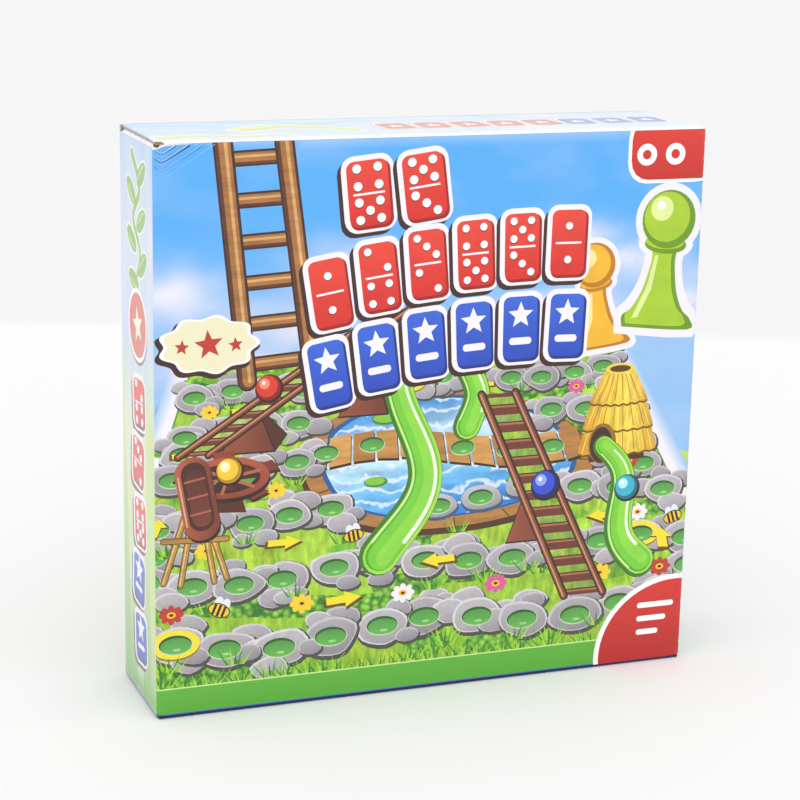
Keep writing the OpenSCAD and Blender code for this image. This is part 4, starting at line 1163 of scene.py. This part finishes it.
top.add([(-134, 0), (-129.5, 0), (-131, 1.4), (-134, 2.6)], "#8A6A48")
# the cover's edge: pale print at its face, going over to dark painted shade at the liner
panel("Cover_print", top, place_cover, "cover", ["top_cover"], rolled=("#C3D2E2", "#4E4644"))

# flaps of the top, printed on the side that is out
FLAP_REACH, FRONT_TAPER, BACK_TAPER = 46, tan(radians(30)), tan(radians(8))
FLAP_LOW = -28.5
# the back edge stays clear of the leaning tuck flap
FLAP_HIGH = HALF_D - 3.5 - 0.3 - BOARD * tan(TUCK_LEAN) - 1
low_tip, high_tip = FLAP_LOW + FLAP_REACH * FRONT_TAPER, FLAP_HIGH - FLAP_REACH * BACK_TAPER
half_flap = [(FLAP_LOW, 0), (FLAP_HIGH, 0), (FLAP_HIGH, ARC),
             (FLAP_HIGH - (FLAP_HIGH - high_tip) * (FLAP_REACH - 4.6) / FLAP_REACH, FLAP_REACH - 4),
             (high_tip - 0.6, FLAP_REACH - 1.2), (high_tip - 3.4, FLAP_REACH), (low_tip + 4.4, FLAP_REACH),
             (low_tip + 1, FLAP_REACH - 1.4), (low_tip - 1.4, FLAP_REACH - 4.4), (FLAP_LOW, ARC)]


def dust_fill(u, t):
    return mix("#F6F4F1", mix("#C9DCF2", "#A9CDF3", t / 30), (t - 1.9) / 0.6)


for side, part in ((-1, "left"), (1, "right")):
    flap = Art([(-y, t) for y, t in half_flap][::-1] if side < 0 else half_flap, dust_fill, "print", 5)
    for t in (0.4, 0.9, 1.4, 1.9, 2.4):
        flap.spare += [(-27 + 4 * k, t) for k in range(14)]
    panel("Dust_print_" + part, flap, facing(place_dust, side), "dust_" + part, ["top_dust_flap_" + part])
tuck_top = TUCK_REACH - (BOARD * sin(TUCK_LEAN) + 0.1) / cos(TUCK_LEAN)
corner = [(120 + 11 * sin(a), 11 - 11 * cos(a)) for a in (pi / 12 * k for k in range(7))]
tuck = Art([(-x, y) for x, y in corner[::-1]] + corner + [(131, tuck_top), (-131, tuck_top)],
           lambda u, v: mix("#B9DBF7", "#9CCDF6", v / 16), "print", 5)
panel("Tuck_print", tuck, place_tuck, "tuck", ["top_tuck_flap"])

back_art = Art(rect(-FLAT - ARC, BOARD, FLAT + ARC, TOP), sky, "sky", 6)
back_art.dots(-136, 150, 136, 268, 4)
back_art.add([(-140, 0), (140, 0), (140, 168), (60, 178), (-30, 166), (-90, 176), (-140, 164)],
             ramp((0, 0), (0, 176), "#6DB53A", "#B6DB63"))
back_art.add(placed(rounded(206, 206, 8), 0, 134), "#4A2A14")
back_art.add(placed(rounded(202, 202, 7), 0, 134), "#F7F3E0")
GRID = ["#F2C84B", "#8CC63F", "#5FB2E6", "#E8756A", "#F7F3E0"]
for i in range(8):
    for j in range(8):
        x, y = -84 + 24 * i, 50 + 24 * j
        back_art.add(placed(rounded(22.6, 22.6, 2.5, 2), x, y), GRID[(i * 3 + j * 2) % 5])
        back_art.discs(x, y, (0, 0, 5.6, None, 16, "#3E8E2A"), (0.4, -0.6, 4.7, None, 14, "#6CC24A"))
SLAT = "#47200F", "#84452A", "#C98F66", "#3A1A10"
for a, b in (((-66, 62), (-36, 148)), ((36, 86), (66, 196))):
    dx, dy = b[0] - a[0], b[1] - a[1]
    d = hypot(dx, dy)
    nx, ny = -dy / d * 7, dx / d * 7
    for k in range(8):
        t = (k + 0.5) / 8
        x, y = a[0] + dx * t, a[1] + dy * t
        bar(back_art, [(x - nx, y - ny), (x + nx, y + ny)], 2.6, SLAT)
    for s in (-1, 1):
        bar(back_art, [(p[0] + s * nx, p[1] + s * ny) for p in (a, b)], 3.6, SLAT)
for a, b, swing, waves in (((-74, 220), (-70, 96), 12, 2), ((84, 148), (36, 60), 9, 1.5),
                           ((6, 222), (2, 130), -11, 1.5)):
    slide_art(back_art, winding(a, b, swing, waves), (9, 12))
back_art.add(rect(-140, 0, 140, 14.6), "#C9E88C")
back_art.add(rect(-140, 0, 140, 14), "#62B543")
panel("Back_print", back_art, facing(place_wall, 1), "carton", ["back_panel"], rolled=("#CBDDEE", "#B3A48E"))

# Camera, stage and light

# the camera's place in mm and its axes, solved from the carton's corners
EYE_AT = (-371.49, -957.57, 391.65)
EYE_RIGHT, EYE_UP = (0.93593, -0.35166, 0.01942), (0.0675, 0.2332, 0.97008)
camera_data = bpy.data.cameras.new("Camera")
camera = bpy.context.scene.camera = linked("Camera", camera_data)
camera_data.sensor_width = 36
camera_data.lens = 99.071
right, up = Vector(EYE_RIGHT).normalized(), Vector(EYE_UP).normalized()
axes = Matrix((right, up, right.cross(up).normalized())).transposed().to_4x4()
camera.matrix_world = Matrix.Translation(Vector(EYE_AT) * MM) @ axes
camera_data.clip_start, camera_data.clip_end = 0.05, 50


def floor_paper():
    """White paper that ends softly at a slightly greyer sheet further back. It keeps its shadows."""
    n = Nodes("Stage_floor")
    away = n("VectorMath", {0: n.coords, 1: (0.356, 0.934, 0)}, operation="DOT_PRODUCT")
    tone = n.blend(n.spread(away.outputs["Value"], 0.77, 0.8), "#F8F7F8", "#F1F0F1")
    shade = n("BsdfDiffuse", {"Color": tone})
    n("OutputMaterial", {"Surface": shade.outputs[0]})
    return n.owner


mesh = bpy.data.meshes.new("Floor")
mesh.from_pydata([(-9, -9, 0), (9, -9, 0), (9, 9, 0), (-9, 9, 0)], [], [(0, 1, 2, 3)])
mesh.materials.append(floor_paper())
floor = linked("Floor", mesh)

# the world lights the object at LIT, and shows as SHOWN to the camera and in gloss
LIT, SHOWN = 0.7, 0.94
n = Nodes("World", "worlds")
bpy.context.scene.world = n.owner
lit, shown = (n("Background", {"Color": (1, 1, 1, 1), "Strength": strength}).outputs[0]
              for strength in (LIT, SHOWN))
path = n("LightPath").outputs
rays = path["Is Camera Ray"]
for kind in ("Is Glossy Ray", "Is Transmission Ray"):
    rays = n("Math", {0: rays, 1: path[kind]}, operation="MAXIMUM").outputs[0]
pick = n("MixShader", {0: rays, 1: lit, 2: shown})
n("OutputWorld", {"Surface": pick.outputs[0]})


def lamp(name, towards, spread, strength):
    """A broad even light that shines along towards."""
    data = bpy.data.lights.new(name, "SUN")
    data.angle, data.energy = radians(spread), strength
    linked(name, data).rotation_euler = Vector(towards).to_track_quat("-Z", "Y").to_euler()


lamp("Key", (0.6, 0.6, -1), 90, 1.1)
lamp("Fill", (-0.7, 0.6, -0.8), 100, 0.45)

bpy.context.scene.view_settings.view_transform = "Standard"
